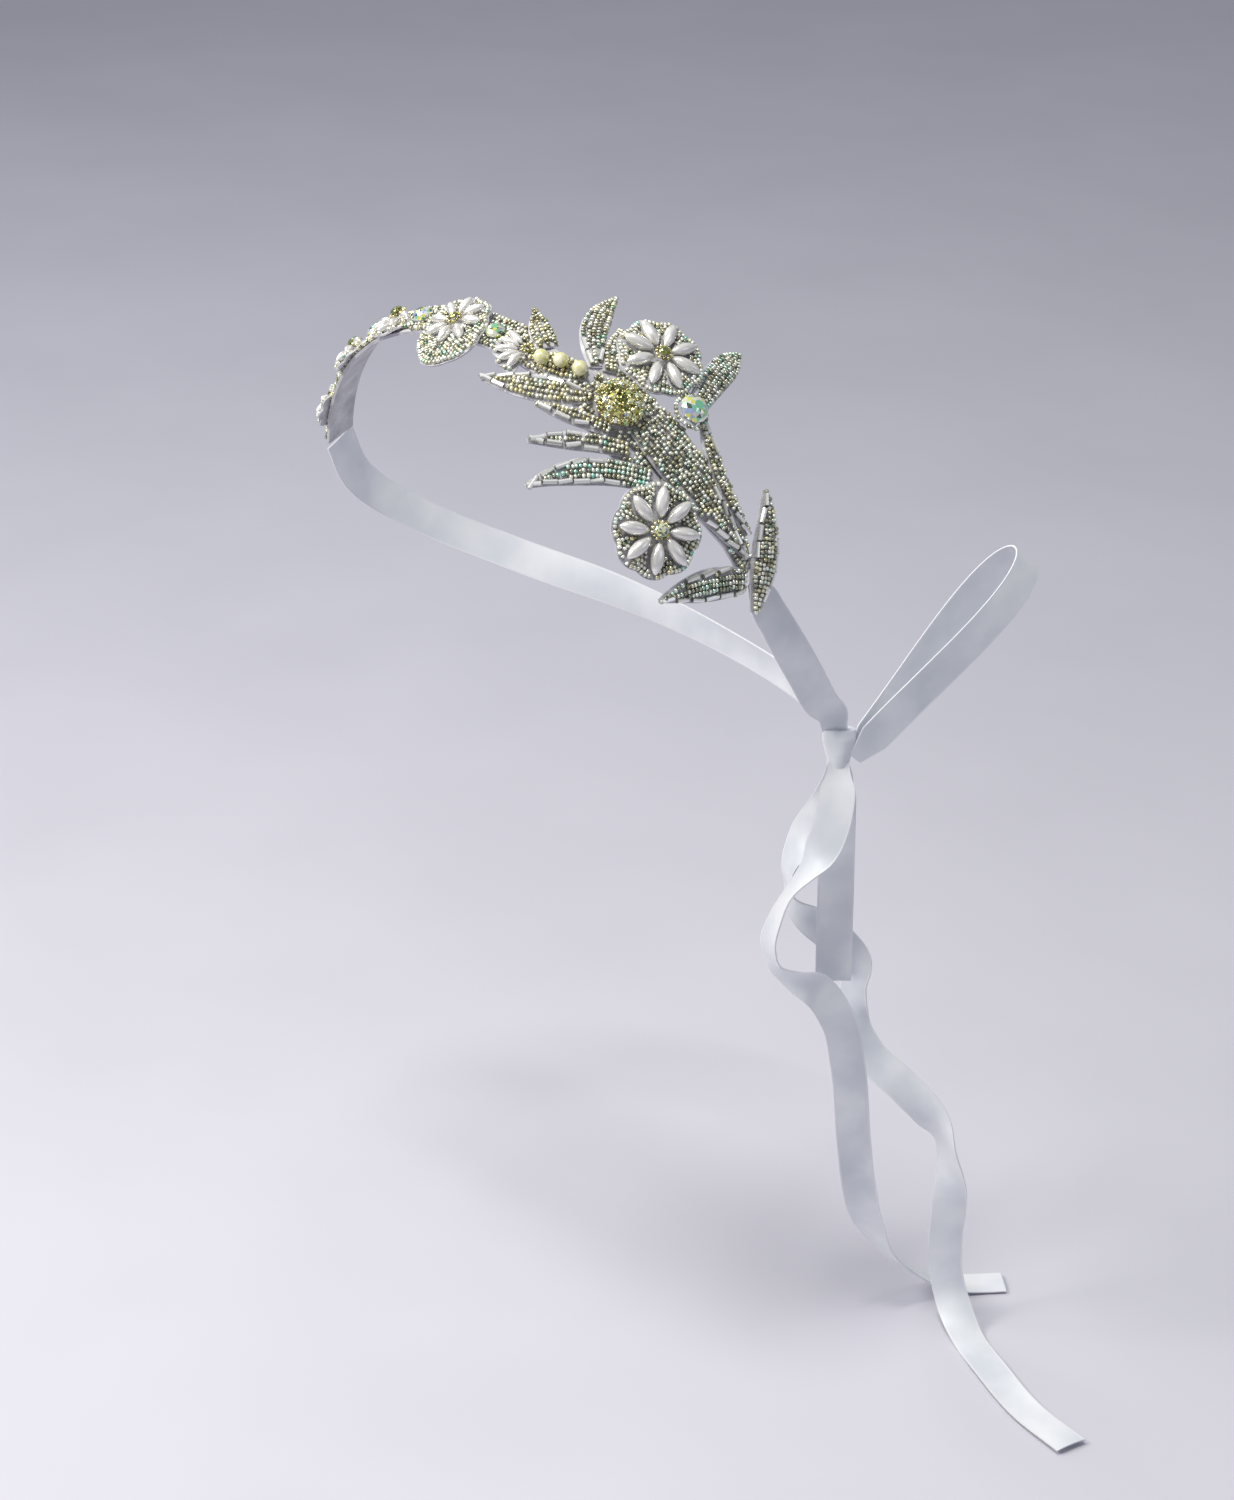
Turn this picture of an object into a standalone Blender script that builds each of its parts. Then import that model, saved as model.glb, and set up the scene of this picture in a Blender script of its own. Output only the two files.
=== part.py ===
"""A beaded wedding headband: a narrow band of pearl flowers with a spray of leaves, tied with satin ribbon.

The headband is modelled as it is worn. +Z is up, the wearer faces -Y and +X is the wearer's left. The origin
is the top of the head that the band sits over. Lengths below are in millimetres; MM turns them to metres.
"""
import bmesh
import bpy
import math
import numpy as np

MM = 0.001
GAP = 0.3

# The inner form that the band is shaped to: an ellipsoid, wider on the wearer's right.
HEAD_DEPTH = 98.0
HEAD_HEIGHT = 92.0
HEAD_LEFT = 80.0
HEAD_RIGHT = 97.0

# The band's line: it lies this far in front of the crown and sweeps back as it comes down each side.
BAND_FRONT = 33.1
SWEEP_LEFT = 0.531
SWEEP_RIGHT = 0.25
LINE_REACH = 125.0
LINE_STEPS = 500
HEADING_STEP = 0.002
FINEST = 1e-9

# The fabric strip, and the heights above the head at which the layers sewn to it start.
BAND_LEFT_END = 119.0
BAND_RIGHT_END = -119.0
STRIP_THICK = 1.0
STRIP_STATIONS = 61
STRIP_EDGES = (
    # along, front edge, back edge
    (-119.0, -6.0, 6.0),
    (-20.0, -7.0, 7.0),
    (20.0, -7.0, 7.0),
    (24.0, -7.0, 4.8),
    (37.0, -7.0, 4.8),
    (42.0, -7.4, 12.8),
    (48.0, -11.0, 13.2),
    (54.0, -12.0, 12.8),
    (60.0, -12.4, 13.0),
    (68.0, -13.2, 13.6),
    (75.0, -13.2, 12.2),
    (80.0, -10.0, 11.4),
    (86.0, -5.4, 12.4),
    (95.0, -4.0, 9.4),
    (108.0, -2.6, 6.6),
    (113.0, -3.0, 5.0),
    (119.0, -3.6, 2.4),
)
LEAF_SEAT = GAP + STRIP_THICK + GAP
LEAF_EDGE = 1.1
LEAF_STATIONS = 11
LEAF_TIP_WIDTH = 0.9
DOME_START = 0.12
DOME_END = 0.92

# A pearl flower: a scalloped fabric base, rice pearls threaded to a hub, and a cut stone in the middle.
SCALLOP = 1.2
SCALLOP_STEPS = 4
BASE_THICK = 1.0
PETALS = 8
PEARL_INSET = 1.1
PEARL_SIDES = 10
PEARL_SECTIONS = (-0.97, -0.5, 0.5, 0.97)
HUB_LAP = 1.3
HUB_THICK = 1.2
HUB_SIDES = 16
CENTRE_STONE_DEPTH = 0.8

# The satin ribbon of the straps, the bow and the tails.
RIBBON_WIDTH = 12.0
RIBBON_THICK = 1.0
RIBBON_STEP = 6.0

# The cut of the stones, as rings from the bottom to the table.
FACETS = 8
FULL_CUT = (
    # share of the radius, share of the height, turn in facets
    (0.45, 0.0, 0.0),
    (0.98, 0.38, 0.0),
    (1.0, 0.52, 0.0),
    (0.82, 0.80, 0.5),
    (0.55, 1.0, 0.0),
)
SMALL_CUT = ((1.0, 0.0, 0.0), (1.0, 0.6, 0.0), (0.58, 1.0, 0.0))

# Whole flowers: the lean is forward about the band's line, and the flap is how far the base droops
# beyond the pearls at the front.
FLOWERS = (
    # name, along, across, radius, first petal, pearl inner, pearl radius, seat, lean, flap, stone radius
    ("flower_a", 85.6, -19.0, 15.2, 42.0, 3.3, 2.2, 2.6, 3.0, 0.0, 2.2),
    ("flower_b", 50.2, 25.4, 14.6, 20.0, 3.1, 2.0, 3.3, 6.0, 0.0, 1.9),
    ("flower_e", -8.7, -3.2, 11.9, 10.0, 2.8, 1.6, 2.3, 8.0, 8.0, 1.6),
)
FLAP_DIRECTION = 294.0

# Half flowers, whose pearls fan out over the front edge of the band.
FANS = (
    # name, along, across, first petal, petal turn, radius, pearl inner, pearl radius, seat, stone radius
    ("flower_c", 20.0, -2.6, 165.0, 27.0, 10.6, 2.6, 1.3, 1.7, 0.0),
    ("flower_h", -43.0, 0.5, 200.0, 35.0, 10.6, 3.4, 1.4, LEAF_SEAT, 2.2),
    ("flower_m", -74.5, 0.5, 200.0, 35.0, 10.6, 3.4, 1.4, LEAF_SEAT, 2.2),
    ("flower_p", -104.5, 0.5, 200.0, 35.0, 10.6, 3.4, 1.4, LEAF_SEAT, 2.2),
)
FAN_PETALS = 5
FAN_HUB_LAP = 0.9

# Leaves of the spray: from base to tip in band coordinates. The bend is to the left of that direction.
LEAVES = (
    # name, base along, base across, tip along, tip across, bend, width, base width, widest at, raise,
    # tip lift, crest
    ("leaf_1", 38.6, 7.6, 22.4, 37.4, 3.6, 8.8, 4.4, 0.55, 0.0, 1.5, 1.0),
    ("leaf_2", 70.8, 16.2, 67.0, 59.2, 1.5, 10.4, 4.4, 0.70, 0.0, 2.5, 1.0),
    ("leaf_3", 44.6, -2.4, 15.8, -19.2, 1.0, 8.6, 4.0, 0.50, 0.0, 1.0, 1.0),
    ("leaf_4", 55.4, -6.7, 34.4, -16.9, 0.0, 5.0, 3.8, 0.45, 0.0, 1.5, 0.8),
    ("leaf_5", 63.2, -7.6, 40.4, -28.6, -1.3, 5.6, 4.6, 0.50, 0.0, 2.5, 0.8),
    ("leaf_6", 74.0, -9.6, 48.6, -40.8, -3.6, 8.0, 7.0, 0.45, 0.0, 2.5, 0.6),
    ("leaf_7", 119.6, -3.5, 101.8, -32.9, -1.6, 9.8, 7.4, 0.36, 0.0, 1.5, 1.0),
    ("leaf_8", 130.4, -6.3, 104.2, 21.4, -1.5, 11.0, 1.8, 0.44, 0.4, 1.0, 1.0),
    ("leaf_9", 23.4, 3.2, 8.9, 12.9, 0.3, 7.4, 6.2, 0.30, 0.0, 1.0, 1.0),
    ("leaf_10", 42.8, 9.3, 33.8, 25.6, 0.6, 5.2, 4.2, 0.50, 0.0, 0.4, 0.2),
    ("stem_main", 55.0, 2.6, 114.4, 1.1, -0.6, 13.2, 7.0, 0.36, 0.0, 0.0, 1.0),
    ("stem_side", 109.6, 6.9, 73.7, 20.4, 3.2, 5.2, 2.2, 0.72, 0.0, 0.0, 0.6),
    ("pod", 38.6, 2.8, 21.8, -4.1, 0.0, 8.8, 4.2, 0.50, 0.0, 0.0, 0.2),
)

# The round pearls laid in the pod.
POD_PEARL_RADIUS = 2.45
POD_PEARL_SEAT = 3.2
POD_PEARL_SIDES = 12
POD_PEARL_TILTS = (-78.0, -48.0, -16.0, 16.0, 48.0, 78.0)
POD_PEARLS = (
    # name, along, across
    ("pod_pearl_1", 26.2, -3.6),
    ("pod_pearl_2", 31.2, -0.7),
    ("pod_pearl_3", 36.9, 0.8),
)

# Round cut crystals, each with its own seat on what it is sewn to.
CRYSTALS = (
    # name, along, across, radius, height, seat
    ("crystal_d", 6.4, -1.5, 3.2, 3.8, LEAF_SEAT),
    ("crystal_f", -28.4, -1.0, 3.6, 4.2, LEAF_SEAT),
    ("crystal_i", -58.8, 0.0, 3.4, 3.6, LEAF_SEAT),
    ("crystal_n", -89.6, 0.0, 3.4, 3.6, LEAF_SEAT),
    ("crystal_k", 69.0, 17.6, 4.8, 5.6, 3.6),
)

# The domed rhinestone cluster over the roots of the leaves.
CLUSTER_PLACE = (52.3, 0.3)
CLUSTER_SEAT = 3.7
CLUSTER_RADIUS = 7.4
CLUSTER_FOOT = 6.8
CLUSTER_RIM = 1.4
CLUSTER_RISE = 3.2
CLUSTER_SIDES = 12
CLUSTER_LEVELS = (0.001, 0.35, 0.68, 0.92)
CLUSTER_STONE_HEIGHT = 2.2
CLUSTER_STONE_SUNK = 1.0
CLUSTER_RINGS = (
    # stones in the ring, distance from the middle, tilt in degrees, stone radius
    (1, 0.0, 0.0, 2.1),
    (6, 3.7, 28.0, 1.7),
    (10, 6.2, 58.0, 1.5),
)

# The knot behind the left ear: sections of the wrapped ribbon from top to bottom.
KNOT_X = 73.2
KNOT_Y = 54.0
KNOT_SIDES = 12
KNOT_FLATNESS = 0.8
KNOT_SECTIONS = (
    # height, half width, half thickness
    (-144.6, 5.4, 2.4),
    (-147.5, 5.6, 3.6),
    (-152.0, 4.6, 4.4),
    (-155.0, 3.8, 4.3),
    (-157.6, 3.6, 3.8),
)
BOW_ACROSS = np.array((0.695, 0.719, 0.0))
BOW_OUT = np.array((0.719, -0.695, 0.0))

# Ribbons: points of the middle line, the direction across the ribbon there, and its width.
STRAP_LEFT = (
    # x, y, z, across x, across y, across z, width
    (79.3, 5.0, -75.6, -0.11, 0.88, 0.45, 6.0),
    (79.6, 7.0, -79.2, -0.10, 0.88, 0.46, 9.5),
    (79.9, 9.4, -84.0, -0.06, 0.88, 0.47, 12.0),
    (79.6, 14.6, -91.6, 0.06, 0.86, 0.50, 12.0),
    (78.0, 22.4, -102.0, 0.26, 0.80, 0.54, 12.0),
    (75.6, 34.5, -118.4, 0.42, 0.76, 0.49, 12.0),
    (73.4, 45.0, -132.5, 0.46, 0.76, 0.45, 11.4),
    (73.0, 51.2, -139.2, 0.60, 0.74, 0.24, 10.0),
    (73.0, 52.0, -143.2, 0.69, 0.72, 0.0, 8.6),
)
STRAP_RIGHT = (
    (-92.9, -17.4, -68.2, 0.0, 0.95, 0.30, 12.0),
    (-96.6, -8.0, -84.0, 0.06, 0.90, 0.43, 12.0),
    (-94.0, 18.0, -106.0, -0.16, 0.64, 0.75, 12.0),
    (-79.0, 49.0, -125.0, -0.33, 0.26, 0.91, 12.0),
    (-52.0, 73.0, -138.0, -0.26, -0.08, 0.96, 12.0),
    (-18.0, 85.0, -147.0, -0.14, -0.20, 0.97, 12.0),
    (20.0, 84.0, -152.0, 0.02, -0.20, 0.98, 12.0),
    (48.0, 73.5, -152.5, 0.12, -0.14, 0.98, 11.0),
    (69.9, 57.8, -150.8, 0.10, -0.10, 0.99, 8.0),
)
TAIL_A = (
    (76.1, 51.2, -158.2, 0.69, 0.72, 0.0, 7.6),
    (77.8, 49.0, -163.0, 0.69, 0.72, 0.02, 11.4),
    (79.4, 46.4, -169.6, 0.69, 0.72, 0.05, 12.0),
    (79.4, 41.6, -180.3, 0.82, 0.55, 0.14, 12.0),
    (76.0, 37.1, -189.6, 0.92, -0.20, 0.33, 12.0),
    (72.4, 33.4, -197.2, 0.80, -0.53, 0.28, 12.0),
    (69.7, 29.2, -207.8, 0.86, -0.44, 0.25, 12.0),
    (68.7, 27.2, -217.2, 0.88, -0.36, 0.30, 12.0),
    (70.4, 28.9, -224.6, 0.70, -0.44, 0.56, 12.0),
    (73.7, 33.8, -229.8, 0.58, -0.22, 0.78, 12.0),
    (78.3, 41.0, -235.6, 0.30, 0.58, 0.76, 12.0),
    (82.0, 48.0, -248.4, 0.55, 0.76, 0.34, 12.0),
    (81.6, 54.3, -268.7, 0.64, 0.76, 0.13, 12.0),
    (79.4, 61.1, -302.3, 0.67, 0.74, 0.05, 12.0),
    (77.7, 66.3, -322.9, 0.72, 0.68, 0.14, 12.0),
    (76.1, 73.1, -341.7, 0.88, 0.22, 0.42, 12.0),
    (76.3, 81.9, -358.0, 0.80, -0.36, 0.47, 12.0),
    (78.0, 93.0, -370.6, 0.82, -0.40, 0.30, 12.0),
    (81.2, 103.6, -378.6, 0.84, -0.48, 0.12, 12.0),
    (85.6, 112.4, -382.4, 0.80, -0.58, 0.03, 12.0),
    (90.6, 119.8, -383.4, 0.76, -0.64, 0.0, 12.0),
    (96.4, 127.0, -383.4, 0.73, -0.68, 0.0, 12.0),
)
TAIL_B = (
    (70.4, 57.0, -158.2, 0.69, 0.72, 0.0, 7.0),
    (68.6, 59.2, -166.6, 0.71, 0.70, -0.08, 10.5),
    (64.8, 59.0, -176.5, 0.78, 0.60, -0.18, 12.0),
    (61.0, 55.0, -185.1, 0.86, 0.46, -0.20, 12.0),
    (59.1, 50.0, -192.7, 0.97, -0.10, 0.05, 12.0),
    (58.6, 46.4, -199.3, 0.86, -0.42, 0.26, 12.0),
    (59.8, 46.2, -206.7, 0.64, -0.56, 0.50, 12.0),
    (62.5, 50.2, -214.6, 0.48, -0.18, 0.84, 12.0),
    (66.0, 58.1, -223.7, 0.02, 0.30, 0.95, 12.0),
    (69.4, 64.5, -231.5, -0.06, 0.42, 0.90, 12.0),
    (71.5, 67.9, -238.5, 0.42, 0.10, 0.90, 12.0),
    (71.2, 67.4, -248.4, 0.64, 0.10, 0.76, 12.0),
    (72.6, 65.8, -259.2, 0.26, 0.52, 0.80, 12.0),
    (79.6, 67.2, -270.4, -0.17, 0.36, 0.91, 12.0),
    (89.6, 72.6, -279.9, -0.08, 0.42, 0.90, 12.0),
    (97.6, 79.4, -291.6, 0.28, 0.12, 0.95, 12.0),
    (101.2, 84.9, -305.0, 0.70, -0.34, 0.62, 12.0),
    (101.6, 87.8, -317.8, 0.90, 0.02, 0.42, 12.0),
    (100.3, 89.5, -332.0, 0.76, 0.63, 0.10, 12.0),
    (98.3, 90.6, -347.9, 0.70, 0.71, 0.04, 12.0),
    (97.6, 92.4, -362.5, 0.76, 0.64, 0.10, 12.0),
    (99.8, 94.0, -374.0, 0.72, 0.66, 0.18, 12.0),
    (107.6, 91.8, -382.2, 0.40, 0.91, 0.04, 12.0),
    (129.3, 81.5, -383.4, 0.42, 0.91, 0.0, 12.0),
    (153.9, 71.6, -383.4, 0.34, 0.94, 0.0, 12.0),
    (177.7, 66.6, -382.6, 0.18, 0.98, 0.0, 12.0),
)

# Bow loops: where they leave the knot, their axis, the way their front layer faces, and their size.
LOOPS = (
    # name, start, axis, front, length, belly, start gap
    ("bow_loop_up", (78.5, 60.2, -151.4), (0.22, 0.69, 0.69), (0.928, -0.368, 0.072), 86.0, 20.0, 1.0),
    ("bow_loop_down", (74.4, 53.2, -158.2), (0.03, -0.03, -1.0), (0.719, -0.695, 0.0), 78.0, 3.6, 0.9),
)
LOOP_STATIONS = 30
LOOP_PINCH = 0.6
LOOP_OPENS_OVER = 16.0
LOOP_ROUNDNESS = 1.5

COLOURS = {
    # name: base colour, roughness, metallic
    "fabric": ((0.86, 0.85, 0.88), 0.85, 0.0),
    "satin": ((0.82, 0.84, 0.90), 0.35, 0.0),
    "beadwork": ((0.62, 0.64, 0.56), 0.30, 0.6),
    "pearl": ((0.90, 0.89, 0.86), 0.22, 0.1),
    "ivory pearl": ((0.90, 0.86, 0.64), 0.22, 0.1),
    "crystal": ((0.78, 0.86, 0.84), 0.08, 0.2),
    "olive crystal": ((0.42, 0.40, 0.16), 0.08, 0.4),
    "gilt": ((0.66, 0.52, 0.24), 0.25, 1.0),
}


def unit(vector):
    return vector / np.linalg.norm(vector)


def head_axes(point):
    """The head's half axes on the side that the point is on."""
    side = HEAD_LEFT if point[0] >= 0.0 else HEAD_RIGHT
    return np.array((side, HEAD_DEPTH, HEAD_HEIGHT))


def from_head_middle(point):
    return np.asarray(point, float) + np.array((0.0, 0.0, HEAD_HEIGHT))


def on_head(point):
    """Moves a point along its ray from the head's middle until it lies on the head."""
    reach = from_head_middle(point)
    return reach / np.linalg.norm(reach / head_axes(point)) - np.array((0.0, 0.0, HEAD_HEIGHT))


def head_normal(point):
    return unit(from_head_middle(point) / head_axes(point) ** 2)


BAND_TOP = HEAD_HEIGHT * math.sqrt(1.0 - (BAND_FRONT / HEAD_DEPTH) ** 2) - HEAD_HEIGHT


def band_line(angle):
    """The point where the band's swept line meets the head, at an angle from the top towards +X."""
    sweep = SWEEP_LEFT if angle >= 0.0 else SWEEP_RIGHT
    near, far = 0.0, 2.0 * HEAD_DEPTH
    while far - near > FINEST:
        reach = (near + far) / 2.0
        height = reach * math.cos(angle) - HEAD_HEIGHT
        point = np.array((reach * math.sin(angle), -BAND_FRONT - sweep * (height - BAND_TOP), height))
        if np.linalg.norm(from_head_middle(point) / head_axes(point)) > 1.0:
            far = reach
        else:
            near = reach
    return point


LINE_ANGLES = np.radians(np.linspace(-LINE_REACH, LINE_REACH, LINE_STEPS + 1))
LINE_POINTS = np.array([band_line(angle) for angle in LINE_ANGLES])
LINE_LENGTHS = np.concatenate(([0.0], np.cumsum(np.linalg.norm(np.diff(LINE_POINTS, axis=0), axis=1))))
LINE_LENGTHS -= np.interp(0.0, LINE_ANGLES, LINE_LENGTHS)


def seat(along, across, height):
    """A point given by its distance along the band, its distance across it, and its height off the head."""
    angle = np.interp(along, LINE_LENGTHS, LINE_ANGLES)
    middle = band_line(angle)
    forward = unit(band_line(angle + HEADING_STEP) - band_line(angle - HEADING_STEP))
    sideways = unit(np.cross(head_normal(middle), forward))
    foot = on_head(middle + across * sideways)
    return foot + height * head_normal(foot)


def seat_frame(along, across, height, lean=0.0):
    """Origin and three directions of a flat piece seated there: along the band, across it, and outwards."""
    origin = seat(along, across, height)
    out = head_normal(seat(along, across, 0.0))
    forward = seat(along + 1.0, across, height) - seat(along - 1.0, across, height)
    forward = unit(forward - out * (forward @ out))
    sideways = np.cross(out, forward)
    turn = math.radians(lean)
    tipped = sideways * math.cos(turn) + out * math.sin(turn)
    out = out * math.cos(turn) - sideways * math.sin(turn)
    return origin, forward, tipped, out


def place(frame, x, y, z):
    origin, forward, sideways, out = frame
    return origin + x * forward + y * sideways + z * out


def material(name):
    found = bpy.data.materials.get(name)
    if found:
        return found
    colour, roughness, metallic = COLOURS[name]
    made = bpy.data.materials.new(name)
    made.use_nodes = True
    shader = made.node_tree.nodes["Principled BSDF"]
    shader.inputs["Base Color"].default_value = (*colour, 1.0)
    shader.inputs["Roughness"].default_value = roughness
    shader.inputs["Metallic"].default_value = metallic
    made.diffuse_color = (*colour, 1.0)
    return made


def solid(name, points, faces, finish, smooth_angle=40.0):
    """An object from points in millimetres, its faces turned outwards."""
    mesh = bpy.data.meshes.new(name)
    shape = bmesh.new()
    corners = [shape.verts.new(tuple(float(c) * MM for c in point)) for point in points]
    for face in faces:
        shape.faces.new([corners[i] for i in face])
    bmesh.ops.recalc_face_normals(shape, faces=shape.faces)
    shape.to_mesh(mesh)
    shape.free()
    mesh.shade_smooth()
    mesh.set_sharp_from_angle(angle=math.radians(smooth_angle))
    mesh.materials.append(material(finish))
    piece = bpy.data.objects.new(name, mesh)
    bpy.context.scene.collection.objects.link(piece)
    return piece


def circle(frame, radius, height, sides):
    """A ring of points round the middle of a seated piece."""
    return [place(frame, radius * math.cos(a), radius * math.sin(a), height)
            for a in np.linspace(0.0, 2.0 * math.pi, sides + 1)[:-1]]


def fuse(piece, tool, overlapping=False):
    """Joins a hidden tool to a piece, so that the two are one body."""
    tool.hide_render = True
    tool.display_type = "WIRE"
    joined = piece.modifiers.new(tool.name, "BOOLEAN")
    joined.operation = "UNION"
    joined.use_self = overlapping
    joined.object = tool


def loft(rings, first=0):
    """Faces that join rings of equally many points, with the two end rings closed."""
    count = len(rings[0])
    faces = [[first + i for i in range(count)]]
    for row in range(len(rings) - 1):
        low = first + row * count
        for i in range(count):
            j = (i + 1) % count
            faces.append([low + i, low + j, low + count + j, low + count + i])
    last = first + (len(rings) - 1) * count
    faces.append([last + i for i in range(count)])
    return faces


def lofted(name, rings, finish, smooth_angle=40.0):
    points = [point for ring in rings for point in ring]
    return solid(name, points, loft(rings), finish, smooth_angle)


def strip(name):
    """The fabric strip under the whole band."""
    edges = np.array(STRIP_EDGES)
    rings = []
    for along in np.linspace(BAND_RIGHT_END, BAND_LEFT_END, STRIP_STATIONS):
        front, back = (np.interp(along, edges[:, 0], edges[:, column]) for column in (1, 2))
        rings.append([seat(along, across, height) for across, height in (
            (front, GAP), (back, GAP), (back, GAP + STRIP_THICK), (front, GAP + STRIP_THICK))])
    return lofted(name, rings, "fabric")


def leaf_width(share, width, base_width, widest):
    """A leaf's width at a share of its length, from its base to its pointed tip."""
    if share < widest:
        return base_width + (width - base_width) * math.sin(math.pi / 2.0 * share / widest)
    turn = math.pi / 2.0 * (share - widest) / (1.0 - widest)
    return LEAF_TIP_WIDTH + (width - LEAF_TIP_WIDTH) * math.cos(turn)


def leaf(row):
    """A domed leaf laid on the head between two places of the band's coordinates."""
    name, base_s, base_t, tip_s, tip_t, bend, width, base_width, widest, rise, lift, crest = row
    base = np.array((base_s, base_t))
    chord = np.array((tip_s, tip_t)) - base
    left = unit(np.array((-chord[1], chord[0])))
    rings = []
    for share in np.linspace(0.0, 1.0, LEAF_STATIONS):
        spine = base + chord * share + left * bend * 4.0 * share * (1.0 - share)
        heading = unit(chord + left * bend * 4.0 * (1.0 - 2.0 * share))
        side = np.array((-heading[1], heading[0])) * leaf_width(share, width, base_width, widest) / 2.0
        under = LEAF_SEAT + rise + lift * share ** 2
        over = under + LEAF_EDGE
        dome = crest * math.sin(math.pi * (DOME_START + share * (DOME_END - DOME_START)))
        rings.append([
            seat(*(spine - side), under), seat(*(spine + side), under), seat(*(spine + side), over),
            seat(*spine, over + dome), seat(*(spine - side), over)])
    return lofted(name, rings, "beadwork")


def scalloped_base(name, frame, radius, turn, first, last, lobes, flap=0.0):
    """A flat base with a lobe under each petal, whole or an open fan, and with a flap if it has one."""
    whole = last - first >= 360.0
    steps = SCALLOP_STEPS * lobes
    count = steps if whole else steps + 1
    outline = []
    for i in range(count):
        angle = first + (last - first) * i / steps
        lobe = abs(math.cos(math.radians((angle - turn) * lobes / (last - first) * 180.0)))
        droop = flap * max(0.0, math.cos(math.radians(angle - FLAP_DIRECTION))) ** 2
        reach = radius - SCALLOP * (1.0 - lobe) + droop
        outline.append((reach * math.cos(math.radians(angle)), reach * math.sin(math.radians(angle))))
    if not whole:
        outline.append((0.0, 0.0))
    rings = [[place(frame, x, y, height) for x, y in outline] for height in (0.0, BASE_THICK)]
    return lofted(name, rings, "fabric", 30.0)


def rice_pearl_rings(frame, angle, inner, outer, radius, height):
    """Rings of one long pearl that lies along a ray of the flower."""
    direction = (math.cos(angle), math.sin(angle))
    half = (outer - inner) / 2.0
    rings = []
    for share in PEARL_SECTIONS:
        reach = (inner + outer) / 2.0 + share * half
        thick = radius * math.sqrt(1.0 - share ** 2)
        ring = []
        for k in range(PEARL_SIDES):
            turn = 2.0 * math.pi * k / PEARL_SIDES
            side = thick * math.cos(turn)
            ring.append(place(
                frame, reach * direction[0] - side * direction[1], reach * direction[1] + side * direction[0],
                height + thick * math.sin(turn)))
        rings.append(ring)
    return rings


def pearl_ring(name, frame, angles, inner, outer, radius, hub_radius):
    """The flower's long pearls, threaded to one hub in the middle and so one body."""
    height = BASE_THICK + GAP + radius
    points, faces = [], []
    for angle in angles:
        rings = rice_pearl_rings(frame, math.radians(angle), inner, outer, radius, height)
        faces.extend(loft(rings, len(points)))
        points.extend(point for ring in rings for point in ring)
    pearls = solid(name, points, faces, "pearl", 60.0)
    levels = (height - HUB_THICK / 2.0, height + HUB_THICK / 2.0)
    hub_rings = [circle(frame, hub_radius, level, HUB_SIDES) for level in levels]
    hub = lofted(name + "_hub", hub_rings, "pearl")
    fuse(pearls, hub)
    return pearls


def stone_rings(frame, radius, height, start, cut=FULL_CUT):
    """Rings of a cut stone: pavilion, girdle, crown and a flat table, eight facets round."""
    rings = []
    for share_radius, share_height, turn in cut:
        ring = []
        for k in range(FACETS):
            angle = 2.0 * math.pi * (k + turn) / FACETS
            ring.append(place(frame, radius * share_radius * math.cos(angle),
                              radius * share_radius * math.sin(angle), start + height * share_height))
        rings.append(ring)
    return rings


def cut_stone(name, frame, radius, height, start, finish):
    return lofted(name, stone_rings(frame, radius, height, start), finish, 12.0)


def centre_stone(name, frame, pearl_radius, radius):
    """The olive stone that sits on the pearls' hub."""
    start = BASE_THICK + GAP + pearl_radius + HUB_THICK / 2.0 + GAP
    cut_stone(name, frame, radius, radius * CENTRE_STONE_DEPTH, start, "olive crystal")


def flower(row):
    name, along, across, radius, turn, inner, pearl_radius, height, lean, flap, stone = row
    frame = seat_frame(along, across, height, lean)
    scalloped_base(name + "_base", frame, radius, turn, 0.0, 360.0, PETALS, flap)
    angles = [turn + 360.0 * k / PETALS for k in range(PETALS)]
    outer = radius - PEARL_INSET
    pearl_ring(name + "_pearls", frame, angles, inner, outer, pearl_radius, inner + HUB_LAP)
    centre_stone(name + "_stone", frame, pearl_radius, stone)


def fan_flower(row):
    name, along, across, first_petal, petal_turn, radius, inner, pearl_radius, height, stone = row
    frame = seat_frame(along, across, height)
    angles = [first_petal + petal_turn * k for k in range(FAN_PETALS)]
    scalloped_base(name + "_base", frame, radius, first_petal, first_petal - petal_turn / 2.0,
                   angles[-1] + petal_turn / 2.0, FAN_PETALS)
    hub_radius = inner + FAN_HUB_LAP
    pearl_ring(name + "_pearls", frame, angles, inner, radius - PEARL_INSET, pearl_radius, hub_radius)
    if stone:
        centre_stone(name + "_stone", frame, pearl_radius, stone)


def round_pearl(name, along, across):
    frame = seat_frame(along, across, POD_PEARL_SEAT + POD_PEARL_RADIUS)
    rings = []
    for tilt in POD_PEARL_TILTS:
        reach = POD_PEARL_RADIUS * math.cos(math.radians(tilt))
        level = POD_PEARL_RADIUS * math.sin(math.radians(tilt))
        rings.append(circle(frame, reach, level, POD_PEARL_SIDES))
    return lofted(name, rings, "ivory pearl", 60.0)


def cluster_level(share):
    """The height of the cluster's dome at a share of its rise."""
    return CLUSTER_RIM + CLUSTER_RISE * share


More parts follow.
